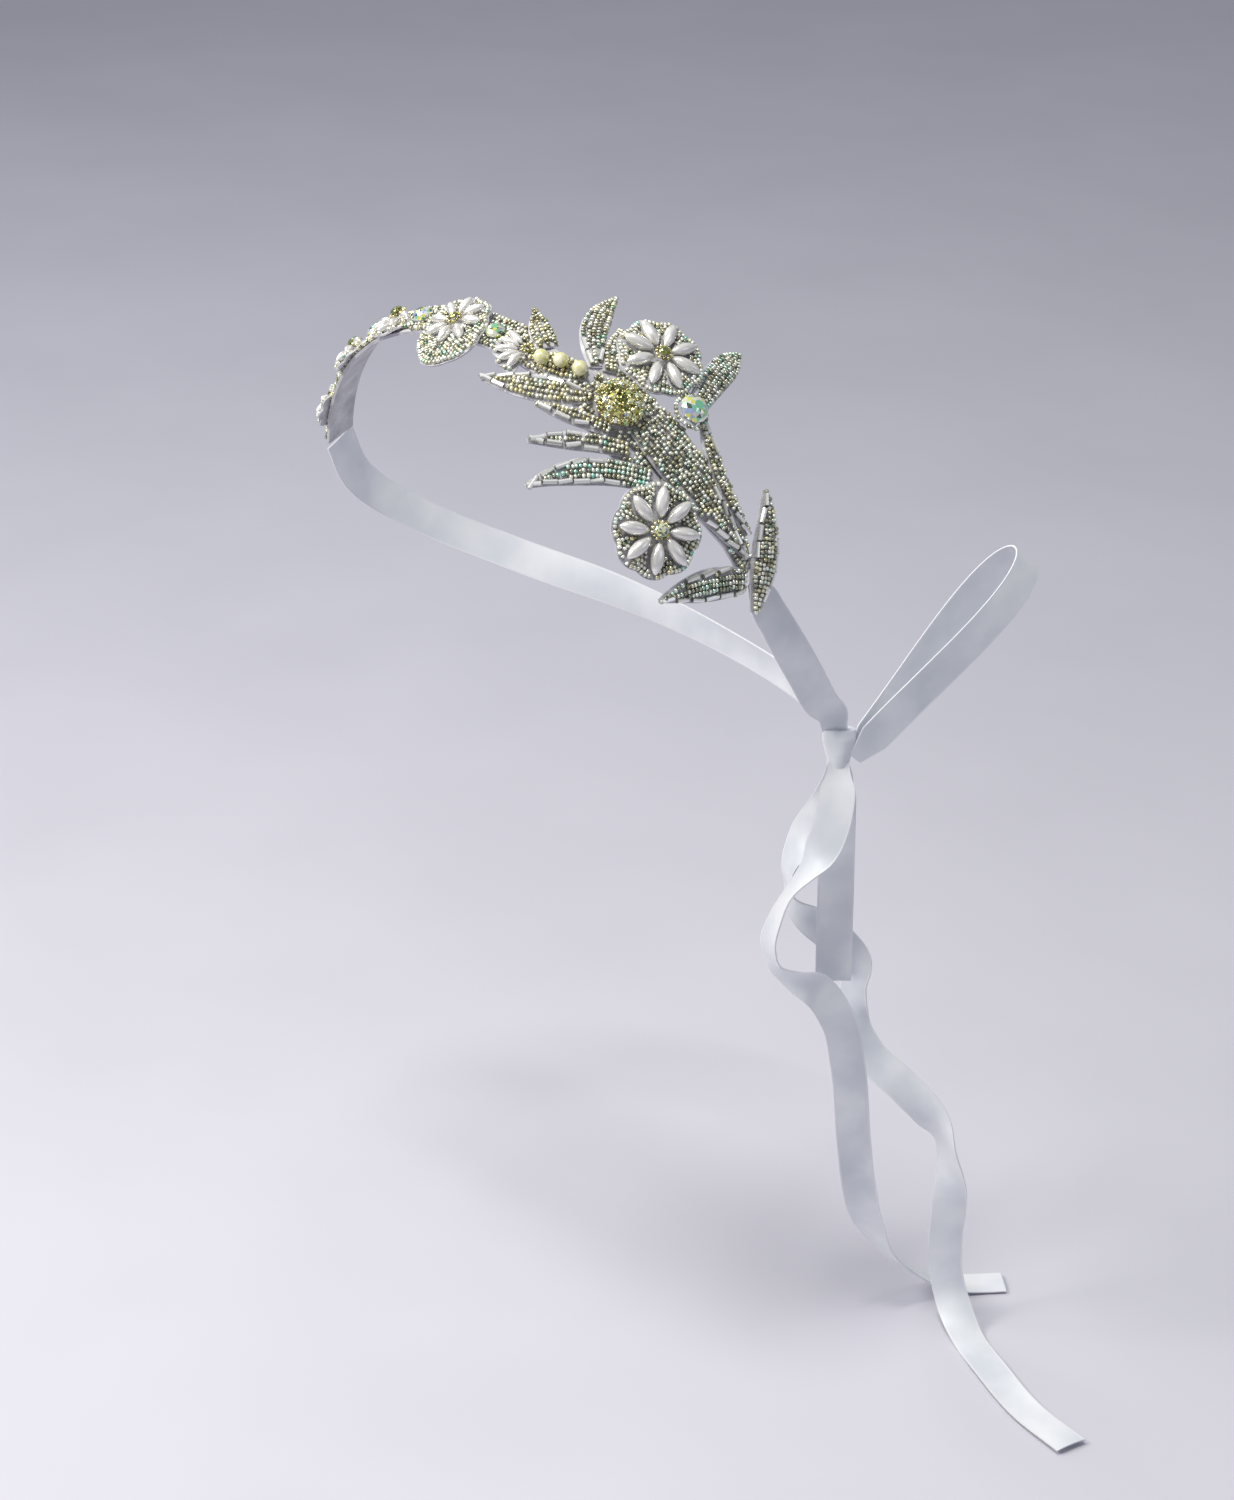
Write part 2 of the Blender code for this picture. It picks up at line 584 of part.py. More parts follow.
def cluster(name):
    """A gilt dome set with rings of cut stones, all fused to the dome."""
    frame = seat_frame(*CLUSTER_PLACE, CLUSTER_SEAT)
    rings = [circle(frame, CLUSTER_FOOT, 0.0, CLUSTER_SIDES)]
    for share in CLUSTER_LEVELS:
        reach = CLUSTER_RADIUS * math.sqrt(1.0 - share ** 2)
        rings.append(circle(frame, reach, cluster_level(share), CLUSTER_SIDES))
    dome = lofted(name, rings, "gilt", 30.0)
    for ring, (count, distance, tilt, radius) in enumerate(CLUSTER_RINGS):
        points, faces = [], []
        level = cluster_level(math.sqrt(1.0 - (distance / CLUSTER_RADIUS) ** 2))
        for k in range(count):
            angle = 2.0 * math.pi * (k + ring / 2.0) / count
            middle = place(frame, distance * math.cos(angle), distance * math.sin(angle), level)
            ray = frame[1] * math.cos(angle) + frame[2] * math.sin(angle)
            out = frame[3] * math.cos(math.radians(tilt)) + ray * math.sin(math.radians(tilt))
            side = unit(np.cross(out, ray))
            stone_frame = (middle, np.cross(side, out), side, out)
            stone = stone_rings(stone_frame, radius, CLUSTER_STONE_HEIGHT, -CLUSTER_STONE_SUNK, SMALL_CUT)
            faces.extend(loft(stone, len(points)))
            points.extend(point for row in stone for point in row)
        stones = solid(f"{name}_stones_{ring}", points, faces, "gilt")
        fuse(dome, stones, overlapping=True)
    return dome


def knot(name):
    """The wrapped knot: rounded sections that narrow towards the pinch."""
    rings = []
    for height, half_width, half_thick in KNOT_SECTIONS:
        ring = []
        for k in range(KNOT_SIDES):
            angle = 2.0 * math.pi * k / KNOT_SIDES
            x = half_width * math.copysign(abs(math.cos(angle)) ** KNOT_FLATNESS, math.cos(angle))
            y = half_thick * math.copysign(abs(math.sin(angle)) ** KNOT_FLATNESS, math.sin(angle))
            ring.append(np.array((KNOT_X, KNOT_Y, height)) + x * BOW_ACROSS + y * BOW_OUT)
        rings.append(ring)
    return lofted(name, rings, "satin", 60.0)


def smooth_rows(rows, step):
    """Reads a smooth curve through the rows, a station about every step, by cubic spans."""
    rows = np.asarray(rows, float)
    lengths = np.linalg.norm(np.diff(rows[:, :3], axis=0), axis=1)
    places = np.concatenate(([0.0], np.cumsum(lengths)))
    slopes = np.gradient(rows, places, axis=0)
    stations = []
    for i, length in enumerate(lengths):
        parts = max(1, round(length / step))
        for part in range(parts):
            stations.append((i, part / parts))
    stations.append((len(lengths) - 1, 1.0))
    result = []
    for i, u in stations:
        span = lengths[i]
        result.append(
            rows[i] * (2 * u ** 3 - 3 * u ** 2 + 1) + slopes[i] * span * (u ** 3 - 2 * u ** 2 + u)
            + rows[i + 1] * (3 * u ** 2 - 2 * u ** 3) + slopes[i + 1] * span * (u ** 3 - u ** 2))
    return np.array(result)


def ribbon_rings(middles, across, widths):
    """Flat sections of a ribbon: its middle line, the direction across it and its width at each station."""
    tangents = np.gradient(middles, axis=0)
    rings = []
    for middle, tangent, side, width in zip(middles, tangents, across, widths):
        tangent = unit(tangent)
        side = unit(side - tangent * (side @ tangent))
        face = np.cross(tangent, side) * RIBBON_THICK / 2.0
        half = side * width / 2.0
        rings.append([middle - half - face, middle + half - face, middle + half + face, middle - half + face])
    return rings


def ribbon(name, rows):
    stations = smooth_rows(rows, RIBBON_STEP)
    return lofted(name, ribbon_rings(stations[:, :3], stations[:, 3:6], stations[:, 6]), "satin", 60.0)


def bow_loop(row):
    """A teardrop loop of ribbon: out from the knot on its back layer and home on its front one."""
    name, start, axis, front, length, belly, start_gap = row
    start = np.array(start)
    axis = unit(np.array(axis))
    front = unit(np.array(front) - axis * (np.array(front) @ axis))
    middles, widths = [], []
    for turn in np.linspace(0.0, math.pi, LOOP_STATIONS + 1):
        reach = length * math.sin(turn)
        spread = -math.cos(turn) * (start_gap + belly * math.sin(turn) ** LOOP_ROUNDNESS)
        middles.append(start + axis * reach + front * spread)
        widths.append(RIBBON_WIDTH * min(1.0, LOOP_PINCH + reach / LOOP_OPENS_OVER))
    across = [np.cross(axis, front)] * len(middles)
    return lofted(name, ribbon_rings(np.array(middles), across, widths), "satin", 60.0)


def build():
    for thing in list(bpy.data.objects):
        bpy.data.objects.remove(thing, do_unlink=True)
    strip("backing")
    for row in FLOWERS:
        flower(row)
    for row in FANS:
        fan_flower(row)
    for row in LEAVES:
        leaf(row)
    for name, along, across in POD_PEARLS:
        round_pearl(name, along, across)
    for name, along, across, radius, height, start in CRYSTALS:
        cut_stone(name, seat_frame(along, across, start), radius, height, 0.0, "crystal")
    cluster("cluster")
    knot("knot")
    ribbon("strap_left", STRAP_LEFT)
    ribbon("strap_right", STRAP_RIGHT)
    ribbon("tail_a", TAIL_A)
    ribbon("tail_b", TAIL_B)
    for row in LOOPS:
        bow_loop(row)


build()
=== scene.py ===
"""Looks of the beaded wedding headband: glass beads, rice pearls, crystals, cotton backing and satin ribbon.

Lengths are in millimetres, in the model's own frame, and MM turns them to metres when a mesh is made.
"""
import bmesh
import bpy
import math
import numpy as np
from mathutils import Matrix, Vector


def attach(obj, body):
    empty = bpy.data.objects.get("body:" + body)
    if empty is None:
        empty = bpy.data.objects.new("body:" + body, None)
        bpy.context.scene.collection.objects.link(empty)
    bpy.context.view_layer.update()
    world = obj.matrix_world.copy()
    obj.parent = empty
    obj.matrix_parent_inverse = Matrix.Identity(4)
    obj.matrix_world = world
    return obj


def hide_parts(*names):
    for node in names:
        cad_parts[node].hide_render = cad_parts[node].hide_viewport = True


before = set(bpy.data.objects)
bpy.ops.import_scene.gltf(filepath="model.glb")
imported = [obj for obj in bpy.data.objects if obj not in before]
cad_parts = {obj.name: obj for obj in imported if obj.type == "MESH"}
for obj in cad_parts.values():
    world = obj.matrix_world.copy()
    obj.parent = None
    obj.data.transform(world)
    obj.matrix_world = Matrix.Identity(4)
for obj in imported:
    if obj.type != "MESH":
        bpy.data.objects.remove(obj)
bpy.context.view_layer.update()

# The studio: a pale floor that the long tails reach down to, lit by soft lamps with one hard little
# lamp among them, whose light the glass beads throw back as sparks. The view is from the wearer's
# left front and from above.
MM = 0.001
FLOOR_LEVEL = -384.8
FLOOR_HALF = 24000.0
VIEW_TARGET = Vector((26.0, -2.0, -150.0))
VIEW_AZIMUTH = 46.0
VIEW_ELEVATION = 25.0
VIEW_DISTANCE = 1150.0
VIEW_LENS = 84.0
LAMPS = (
    # name, azimuth, elevation, distance, size, watts, colour
    ("key", -30.0, 42.0, 1150.0, 520.0, 9.8, "#FFFBF2"),
    ("spark", 15.0, 74.0, 1300.0, 240.0, 10.5, "#FFFDF6"),
    ("fill", 112.0, 24.0, 1600.0, 700.0, 0.8, "#EAF0FF"),
    ("rim", 262.0, 36.0, 1800.0, 700.0, 5.5, "#F3F4FF"),
)
WORLD_COLOUR = "#D2D6DE"
WORLD_STRENGTH = 0.48


def linear(colour):
    """Turns an sRGB hex colour to the linear values that shaders work in."""
    channels = [int(colour[i:i + 2], 16) / 255.0 for i in (1, 3, 5)]
    return (*(c / 12.92 if c <= 0.04045 else ((c + 0.055) / 1.055) ** 2.4 for c in channels), 1.0)


def add(tree, kind, sockets=(), stops=(), **settings):
    """Adds a node. Its sockets take a value or a link, stops are a ramp's places and hex colours, and
    settings are its other properties."""
    made = tree.nodes.new(kind)
    for name, value in settings.items():
        setattr(made, name, value)
    for name, value in dict(sockets).items():
        if isinstance(value, bpy.types.NodeSocket):
            tree.links.new(value, made.inputs[name])
        else:
            made.inputs[name].default_value = value
    if stops:
        elements = made.color_ramp.elements
        while len(elements) < len(stops):
            elements.new(0.5)
        for element, (place, colour) in zip(elements, stops):
            element.position = place
            element.color = linear(colour)
    return made


def finish(name, colour, **uniform):
    """A material with one shader, whose uniform values stand on the shader's own sockets."""
    made = bpy.data.materials.new(name)
    made.use_nodes = True
    shader = made.node_tree.nodes["Principled BSDF"]
    shader.inputs["Base Color"].default_value = linear(colour)
    for socket, value in uniform.items():
        shader.inputs[socket.replace("_", " ")].default_value = value
    made.diffuse_color = linear(colour)
    return made, made.node_tree, shader


def aim(thing, azimuth, elevation, distance):
    """Stands a camera or a lamp off from the band and turns it to face the band."""
    turn, rise = math.radians(azimuth), math.radians(elevation)
    away = Vector((math.sin(turn) * math.cos(rise), -math.cos(turn) * math.cos(rise), math.sin(rise)))
    thing.location = (VIEW_TARGET + away * distance) * MM
    thing.rotation_euler = (-away).to_track_quat("-Z", "Y").to_euler()
    bpy.context.scene.collection.objects.link(thing)


def as_mesh(name, points, faces=()):
    """A mesh of points given in millimetres."""
    mesh = bpy.data.meshes.new(name)
    mesh.from_pydata([tuple(point) for point in np.asarray(points) * MM], [], list(faces))
    return mesh


def stand(name, mesh):
    """An object for a mesh, linked to the scene."""
    thing = bpy.data.objects.new(name, mesh)
    bpy.context.scene.collection.objects.link(thing)
    return thing


camera_data = bpy.data.cameras.new("camera")
camera_data.lens = VIEW_LENS
camera = bpy.data.objects.new("camera", camera_data)
aim(camera, VIEW_AZIMUTH, VIEW_ELEVATION, VIEW_DISTANCE)
bpy.context.scene.camera = camera

for name, azimuth, elevation, distance, size, watts, colour in LAMPS:
    lamp = bpy.data.lights.new(name, "AREA")
    lamp.size = size * MM
    lamp.energy = watts
    lamp.color = linear(colour)[:3]
    aim(bpy.data.objects.new(name, lamp), azimuth, elevation, distance)

world = bpy.data.worlds.new("studio")
world.use_nodes = True
world.node_tree.nodes["Background"].inputs["Color"].default_value = linear(WORLD_COLOUR)
world.node_tree.nodes["Background"].inputs["Strength"].default_value = WORLD_STRENGTH
bpy.context.scene.world = world
bpy.context.scene.view_settings.view_transform = "Standard"

# Matt painted board: a pale, almost even grey with a lilac cast.
board, board_tree, board_shader = finish("painted board", "#CCCBD5", Roughness=0.8)
board_place = add(board_tree, "ShaderNodeTexCoord")
board_noise = add(board_tree, "ShaderNodeTexNoise", {"Vector": board_place.outputs["Object"], "Scale": 9.0})
board_colours = add(board_tree, "ShaderNodeValToRGB", {"Fac": board_noise.outputs["Fac"]}, stops=(
    (0.3, "#CAC9D3"), (0.7, "#CECDD7")))
board_tree.links.new(board_colours.outputs["Color"], board_shader.inputs["Base Color"])
floor_mesh = as_mesh("floor", [(x * FLOOR_HALF, y * FLOOR_HALF, FLOOR_LEVEL)
                               for x, y in ((-1, -1), (1, -1), (1, 1), (-1, 1))], [(0, 1, 2, 3)])
floor_mesh.materials.append(board)
floor = stand("floor", floor_mesh)


# The backing: a strip of stiffened white cotton, cut by hand and bent to the band's inner form, that
# carries every motif. Its line is the driving line of the whole band: s runs along it to the wearer's
# left, t across it to the back.
HEAD_DEPTH = 98.0
HEAD_HEIGHT = 92.0
HEAD_LEFT = 80.0
HEAD_RIGHT = 97.0
HEAD_MIDDLE = np.array((0.0, 0.0, -HEAD_HEIGHT))
BAND_FRONT = 33.1
SWEEP_LEFT = 0.531
SWEEP_RIGHT = 0.25
BAND_TOP = HEAD_HEIGHT * math.sqrt(1.0 - (BAND_FRONT / HEAD_DEPTH) ** 2) - HEAD_HEIGHT
LINE_REACH = 125.0
LINE_STEPS = 1000
HALVINGS = 42
GAP = 0.3
STRIP_THICK = 1.0
COTTON_THREAD = 0.45  # a real thread is half as wide; drawn coarse enough to show
COTTON_RELIEF = 0.12


def unit(vectors):
    return vectors / np.linalg.norm(vectors, axis=-1, keepdims=True)


def run(path):
    """How far along a path each of its points lies."""
    return np.concatenate(([0.0], np.cumsum(np.linalg.norm(np.diff(path, axis=0), axis=1))))


def head_axes(points):
    """The half axes of the band's inner form on the side that each point is on."""
    side = np.where(points[..., 0] >= 0.0, HEAD_LEFT, HEAD_RIGHT)
    return np.stack((side, np.full_like(side, HEAD_DEPTH), np.full_like(side, HEAD_HEIGHT)), axis=-1)


def on_head(points):
    """Moves points along their rays from the inner form's middle until they lie on it."""
    reach = points - HEAD_MIDDLE
    return reach / np.linalg.norm(reach / head_axes(points), axis=-1, keepdims=True) + HEAD_MIDDLE


def head_normal(points):
    return unit((points - HEAD_MIDDLE) / head_axes(points) ** 2)


line_angles = np.radians(np.linspace(-LINE_REACH, LINE_REACH, LINE_STEPS + 1))
line_near = np.zeros_like(line_angles)
line_far = np.full_like(line_angles, 2.0 * HEAD_DEPTH)
for halving in range(HALVINGS):
    line_reach = (line_near + line_far) / 2.0
    line_height = line_reach * np.cos(line_angles) - HEAD_HEIGHT
    line_sweep = np.where(line_angles >= 0.0, SWEEP_LEFT, SWEEP_RIGHT)
    band_line = np.stack((line_reach * np.sin(line_angles),
                          -BAND_FRONT - line_sweep * (line_height - BAND_TOP), line_height), axis=-1)
    outside = np.linalg.norm((band_line - HEAD_MIDDLE) / head_axes(band_line), axis=-1) > 1.0
    line_far = np.where(outside, line_reach, line_far)
    line_near = np.where(outside, line_near, line_reach)
line_lengths = run(band_line)
line_lengths -= line_lengths[LINE_STEPS // 2]
line_across = unit(np.cross(head_normal(band_line), np.gradient(band_line, axis=0)))


def seat(along, across, height):
    """Points given by their distance along the band, across it, and off its inner form."""
    along, across, height = np.broadcast_arrays(*(np.asarray(v, float) for v in (along, across, height)))
    middle = np.stack([np.interp(along, line_lengths, band_line[:, k]) for k in range(3)], axis=-1)
    sideways = unit(np.stack([np.interp(along, line_lengths, line_across[:, k]) for k in range(3)], axis=-1))
    foot = on_head(middle + across[..., None] * sideways)
    return foot + height[..., None] * head_normal(foot)


# Stiffened cotton: matt white that takes a lilac grey in the shade, with the weave just showing.
cotton, cotton_tree, cotton_shader = finish("stiffened cotton", "#E3E0E8", Roughness=0.85, Sheen_Weight=0.15)
cotton_place = add(cotton_tree, "ShaderNodeTexCoord").outputs["Object"]
cotton_rate = math.pi / (COTTON_THREAD * MM) / 20.0  # a wave texture turns over in 2 pi / 20 of its scale
cotton_waves = [add(cotton_tree, "ShaderNodeTexWave", {
    "Vector": cotton_place, "Scale": cotton_rate, "Distortion": 0.6}, bands_direction=way).outputs["Fac"]
    for way in ("X", "Z")]
cotton_woven = add(cotton_tree, "ShaderNodeMath", {0: cotton_waves[0], 1: cotton_waves[1]},
                   operation="MAXIMUM")
cotton_bump = add(cotton_tree, "ShaderNodeBump", {
    "Height": cotton_woven.outputs[0], "Strength": 0.5, "Distance": COTTON_RELIEF * MM})
cotton_tree.links.new(cotton_bump.outputs["Normal"], cotton_shader.inputs["Normal"])
cotton_noise = add(cotton_tree, "ShaderNodeTexNoise", {"Vector": cotton_place, "Scale": 160.0, "Detail": 4.0})
cotton_colours = add(cotton_tree, "ShaderNodeValToRGB", {"Fac": cotton_noise.outputs["Fac"]}, stops=(
    (0.3, "#ABA9B0"), (0.55, "#C3C2C8"), (0.75, "#D9D9DE")))
cotton_tree.links.new(cotton_colours.outputs["Color"], cotton_shader.inputs["Base Color"])
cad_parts["backing"].data.materials.clear()
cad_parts["backing"].data.materials.append(cotton)


# The beaded leaves, stems and pod of the spray: pointed pieces of the same cotton, cut out and sewn over
# with silver-lined glass. Short bugle beads lie end to end along the edges of most, and seed beads fill
# them in rows along the leaf, each row sewn on its own thread.
SEED_DIAMETER = 1.6
SEED_LENGTH = 1.15
SEED_HOLE = 0.35
SEED_PITCH = 1.36
ROW_PITCH = 1.52
ROW_SLACK = 0.5
SEWN_LOOSE = 0.12
STRIP_LOOSE = 0.22
BUGLE_DIAMETER = 1.6
BUGLE_LENGTH = 4.9
BUGLE_HOLE = 0.5
BUGLE_PITCH = 5.15
RING_SIDES = 8
SEED_WALL_SIDES = 5
LAST_BEAD_ROOM = 0.35  # share of a pitch that a string may be short of and still take one more bead
SHARP_ANGLE = 50.0
CLOTH = 0.5
CLOTH_MARGIN = 0.25
EDGE_INSET = 0.35
LEAF_SEAT = GAP + STRIP_THICK + GAP
LEAF_TIP_WIDTH = 0.9
LEAF_SHARE = np.linspace(0.0, 1.0, 61)
CLOTH_COLUMNS = 7
DOME_START = 0.12
DOME_END = 0.92
CLOTH_DOME = 0.8
HALF_ROWS = 5
EDGE_CLEAR = 0.9 * SEED_DIAMETER
LEAVES = (
    # name, base along, base across, tip along, tip across, bend, width, base width, widest at, raise,
    # tip lift, crest, bugles on the left edge from and to, on the right edge from and to, warmth of the glass
    ("leaf_1", 38.6, 7.6, 22.4, 37.4, 3.6, 8.8, 4.4, 0.55, 0.0, 1.5, 1.0, 0.0, 0.30, 0.0, 0.22, 0.45),
    ("leaf_2", 70.8, 16.2, 67.0, 59.2, 1.5, 10.4, 4.4, 0.70, 0.0, 2.5, 1.0, 0.04, 0.28, 0.0, 0.0, 0.56),
    ("leaf_3", 44.6, -2.4, 15.8, -19.2, 1.0, 8.6, 4.0, 0.50, 0.0, 1.0, 1.0, 0.76, 1.0, 0.10, 1.0, 0.28),
    ("leaf_4", 55.4, -6.7, 34.4, -16.9, 0.0, 5.0, 3.8, 0.45, 0.0, 1.5, 0.8, 0.25, 1.0, 0.0, 0.0, 0.36),
    ("leaf_5", 63.2, -7.6, 40.4, -28.6, -1.3, 5.6, 4.6, 0.50, 0.0, 2.5, 0.8, 0.28, 1.0, 0.45, 1.0, 0.45),
    ("leaf_6", 74.0, -9.6, 48.6, -40.8, -3.6, 8.0, 7.0, 0.45, 0.0, 2.5, 0.6, 0.22, 1.0, 0.34, 1.0, 0.66),
    ("leaf_7", 119.6, -3.5, 101.8, -32.9, -1.6, 9.8, 7.4, 0.36, 0.0, 1.5, 1.0, 0.0, 1.0, 0.18, 0.70, 0.60),
    ("leaf_8", 130.4, -6.3, 104.2, 21.4, -1.5, 11.0, 1.8, 0.44, 0.4, 1.0, 1.0, 0.42, 1.0, 0.10, 0.62, 0.44),
    ("leaf_9", 23.4, 3.2, 8.9, 12.9, 0.3, 7.4, 6.2, 0.30, 0.0, 1.0, 1.0, 0.0, 0.0, 0.0, 0.0, 0.34),
    ("leaf_10", 42.8, 9.3, 33.8, 25.6, 0.6, 5.2, 4.2, 0.50, 0.0, 0.4, 0.2, 0.0, 0.0, 0.0, 0.0, 0.36),
    ("stem_main", 55.0, 2.6, 114.4, 1.1, -0.6, 13.2, 7.0, 0.36, 0.0, 0.0, 1.0, 0.58, 1.0, 0.66, 1.0, 0.52),
    ("stem_side", 109.6, 6.9, 73.7, 20.4, 3.2, 5.2, 2.2, 0.72, 0.0, 0.0, 0.6, 0.0, 0.22, 0.70, 1.0, 0.42),
    ("pod", 38.6, 2.8, 21.8, -4.1, 0.0, 8.8, 4.2, 0.50, 0.0, 0.0, 0.2, 0.0, 0.0, 0.0, 0.0, 0.10),
)


def bead_tree(name, shape, smooth):
    """Nodes that set one bead on every point, its hole along the thread, with the sizes as inputs."""
    tree = bpy.data.node_groups.new(name, "GeometryNodeTree")
    tree.interface.new_socket("Places", in_out="INPUT", socket_type="NodeSocketGeometry")
    for label in ("Diameter", "Length", "Hole", "Point"):
        tree.interface.new_socket(label, in_out="INPUT", socket_type="NodeSocketFloat")
    tree.interface.new_socket("Finish", in_out="INPUT", socket_type="NodeSocketMaterial")
    tree.interface.new_socket("Beads", in_out="OUTPUT", socket_type="NodeSocketGeometry")
    given = add(tree, "NodeGroupInput").outputs
    thread, out, size = (add(tree, "GeometryNodeInputNamedAttribute", {"Name": label},
                             data_type="FLOAT_VECTOR").outputs["Attribute"]
                         for label in ("thread", "out", "size"))
    grained = add(tree, "GeometryNodeStoreNamedAttribute", {
        "Geometry": shape(tree, given), "Name": "grain",
        "Value": add(tree, "GeometryNodeInputPosition").outputs[0]}, data_type="FLOAT_VECTOR")
    turned = add(tree, "FunctionNodeAxesToRotation", {"Primary Axis": thread, "Secondary Axis": out},
                 primary_axis="Z", secondary_axis="X")
    set_out = add(tree, "GeometryNodeInstanceOnPoints", {
        "Points": given["Places"], "Instance": grained.outputs[0],
        "Rotation": turned.outputs[0], "Scale": size})
    real = add(tree, "GeometryNodeRealizeInstances", {"Geometry": set_out.outputs[0]})
    shaded = add(tree, "GeometryNodeSetShadeSmooth", {"Geometry": real.outputs[0], "Shade Smooth": smooth})
    dressed = add(tree, "GeometryNodeSetMaterial", {
        "Geometry": shaded.outputs[0], "Material": given["Finish"]})
    add(tree, "NodeGroupOutput", {"Beads": dressed.outputs[0]})
    return tree


def ring_sizes(tree, given):
    """The radius of a bead's ring and of its wall, from its diameter and its hole."""
    ring = add(tree, "ShaderNodeMath", {0: given["Diameter"], 1: given["Hole"]}, operation="ADD")
    wall = add(tree, "ShaderNodeMath", {0: given["Diameter"], 1: given["Hole"]}, operation="SUBTRACT")
    return [add(tree, "ShaderNodeMath", {0: both.outputs[0], 1: 0.25}, operation="MULTIPLY").outputs[0]
            for both in (ring, wall)]


def seed_shape(tree, given):
    """A seed bead: a rounded wall turned round its hole and stretched to its length."""
    ring, wall = ring_sizes(tree, given)
    path = add(tree, "GeometryNodeCurvePrimitiveCircle", {"Resolution": RING_SIDES, "Radius": ring})
    section = add(tree, "GeometryNodeCurvePrimitiveCircle", {"Resolution": SEED_WALL_SIDES, "Radius": wall})
    turned = add(tree, "GeometryNodeCurveToMesh", {
        "Curve": path.outputs[0], "Profile Curve": section.outputs[0]})
    doubled = add(tree, "ShaderNodeMath", {0: wall, 1: 2.0}, operation="MULTIPLY")
    longer = add(tree, "ShaderNodeMath", {0: given["Length"], 1: doubled.outputs[0]}, operation="DIVIDE")
    stretch = add(tree, "ShaderNodeCombineXYZ", {"X": 1.0, "Y": 1.0, "Z": longer.outputs[0]})
    return add(tree, "GeometryNodeTransform", {
        "Geometry": turned.outputs[0], "Scale": stretch.outputs[0]}).outputs[0]


def bugle_shape(tree, given):
    """A bugle bead: a straight wall turned round its hole, cut square at both ends."""
    ring, wall = ring_sizes(tree, given)
    path = add(tree, "GeometryNodeCurvePrimitiveCircle", {"Resolution": RING_SIDES, "Radius": ring})
    thick = add(tree, "ShaderNodeMath", {0: wall, 1: 2.0}, operation="MULTIPLY")
    section = add(tree, "GeometryNodeCurvePrimitiveQuadrilateral", {
        "Width": thick.outputs[0], "Height": given["Length"]})
    return add(tree, "GeometryNodeCurveToMesh", {
        "Curve": path.outputs[0], "Profile Curve": section.outputs[0]}).outputs[0]


seed_tree = bead_tree("seed beads", seed_shape, True)
bugle_tree = bead_tree("bugle beads", bugle_shape, False)


def set_beads(name, strings, tree, sizes, made_of, slot, warmth=0.5, spread=0.2, tilt=0.2, vary=0.06,
              point=0.0, loose=SEWN_LOOSE, glint_dimming=1.0):
    """Sets beads at every place of the strings, as one mesh. A string is positions, threads and outs."""
    position, thread, out = (np.concatenate([string[k] for string in strings]) for k in range(3))
    draw = np.random.default_rng(sum(map(ord, name)))
    count = len(position)
    position = position + unit(np.cross(thread, out)) * draw.normal(0.0, loose, (count, 1))
    position = position + unit(thread) * draw.normal(0.0, loose, (count, 1))
    thread = unit(thread) + draw.normal(0.0, tilt / 3.0, (count, 3))
    out = unit(out) + draw.normal(0.0, tilt, (count, 3))
    size = np.repeat(draw.normal(1.0, vary, (count, 1)), 3, axis=1)
    tone = np.clip(draw.normal(warmth, spread, count), 0.0, 1.0)
    places = as_mesh(name, position)
    for label, values in (("thread", thread), ("out", out), ("size", size)):
        places.attributes.new(label, "FLOAT_VECTOR", "POINT").data.foreach_set("vector", values.ravel())
    # A random number per bead that the seed glass reads to pick how bright its painted glint is. The dimming
    # spreads the beads over the dimmer steps.
    spark = 1.0 - glint_dimming * draw.random(count)
    for label, values in (("tone", tone), ("spark", spark)):
        places.attributes.new(label, "FLOAT", "POINT").data.foreach_set("value", values)
    piece = stand(name, places)
    setter = piece.modifiers.new("beads", "NODES")
    setter.node_group = tree
    inputs = {item.name: item.identifier for item in tree.interface.items_tree if item.in_out == "INPUT"}
    for label, value in zip(("Diameter", "Length", "Hole"), sizes):
        setter[inputs[label]] = value * MM
    setter[inputs["Point"]] = point
    setter[inputs["Finish"]] = made_of
    graph = bpy.context.evaluated_depsgraph_get()
    whole = bpy.data.meshes.new_from_object(
        piece.evaluated_get(graph), preserve_all_data_layers=True, depsgraph=graph)
    piece.modifiers.clear()
    piece.data = whole
    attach(piece, "root")
    return piece


def threaded(path, outs, pitch, reach=0.6):
    """Even places along a path: positions, thread directions, each read over a short reach, and outs."""
    lengths = run(path)
    count = int(lengths[-1] / pitch + LAST_BEAD_ROOM)
    at = (np.arange(count) + 0.5) * lengths[-1] / max(count, 1)

    def read(values, places):
        return np.stack([np.interp(places, lengths, values[:, k]) for k in range(3)], axis=-1)

    ahead, behind = read(path, at + reach / 2.0), read(path, at - reach / 2.0)
    return (ahead + behind) / 2.0, ahead - behind, read(outs, at)


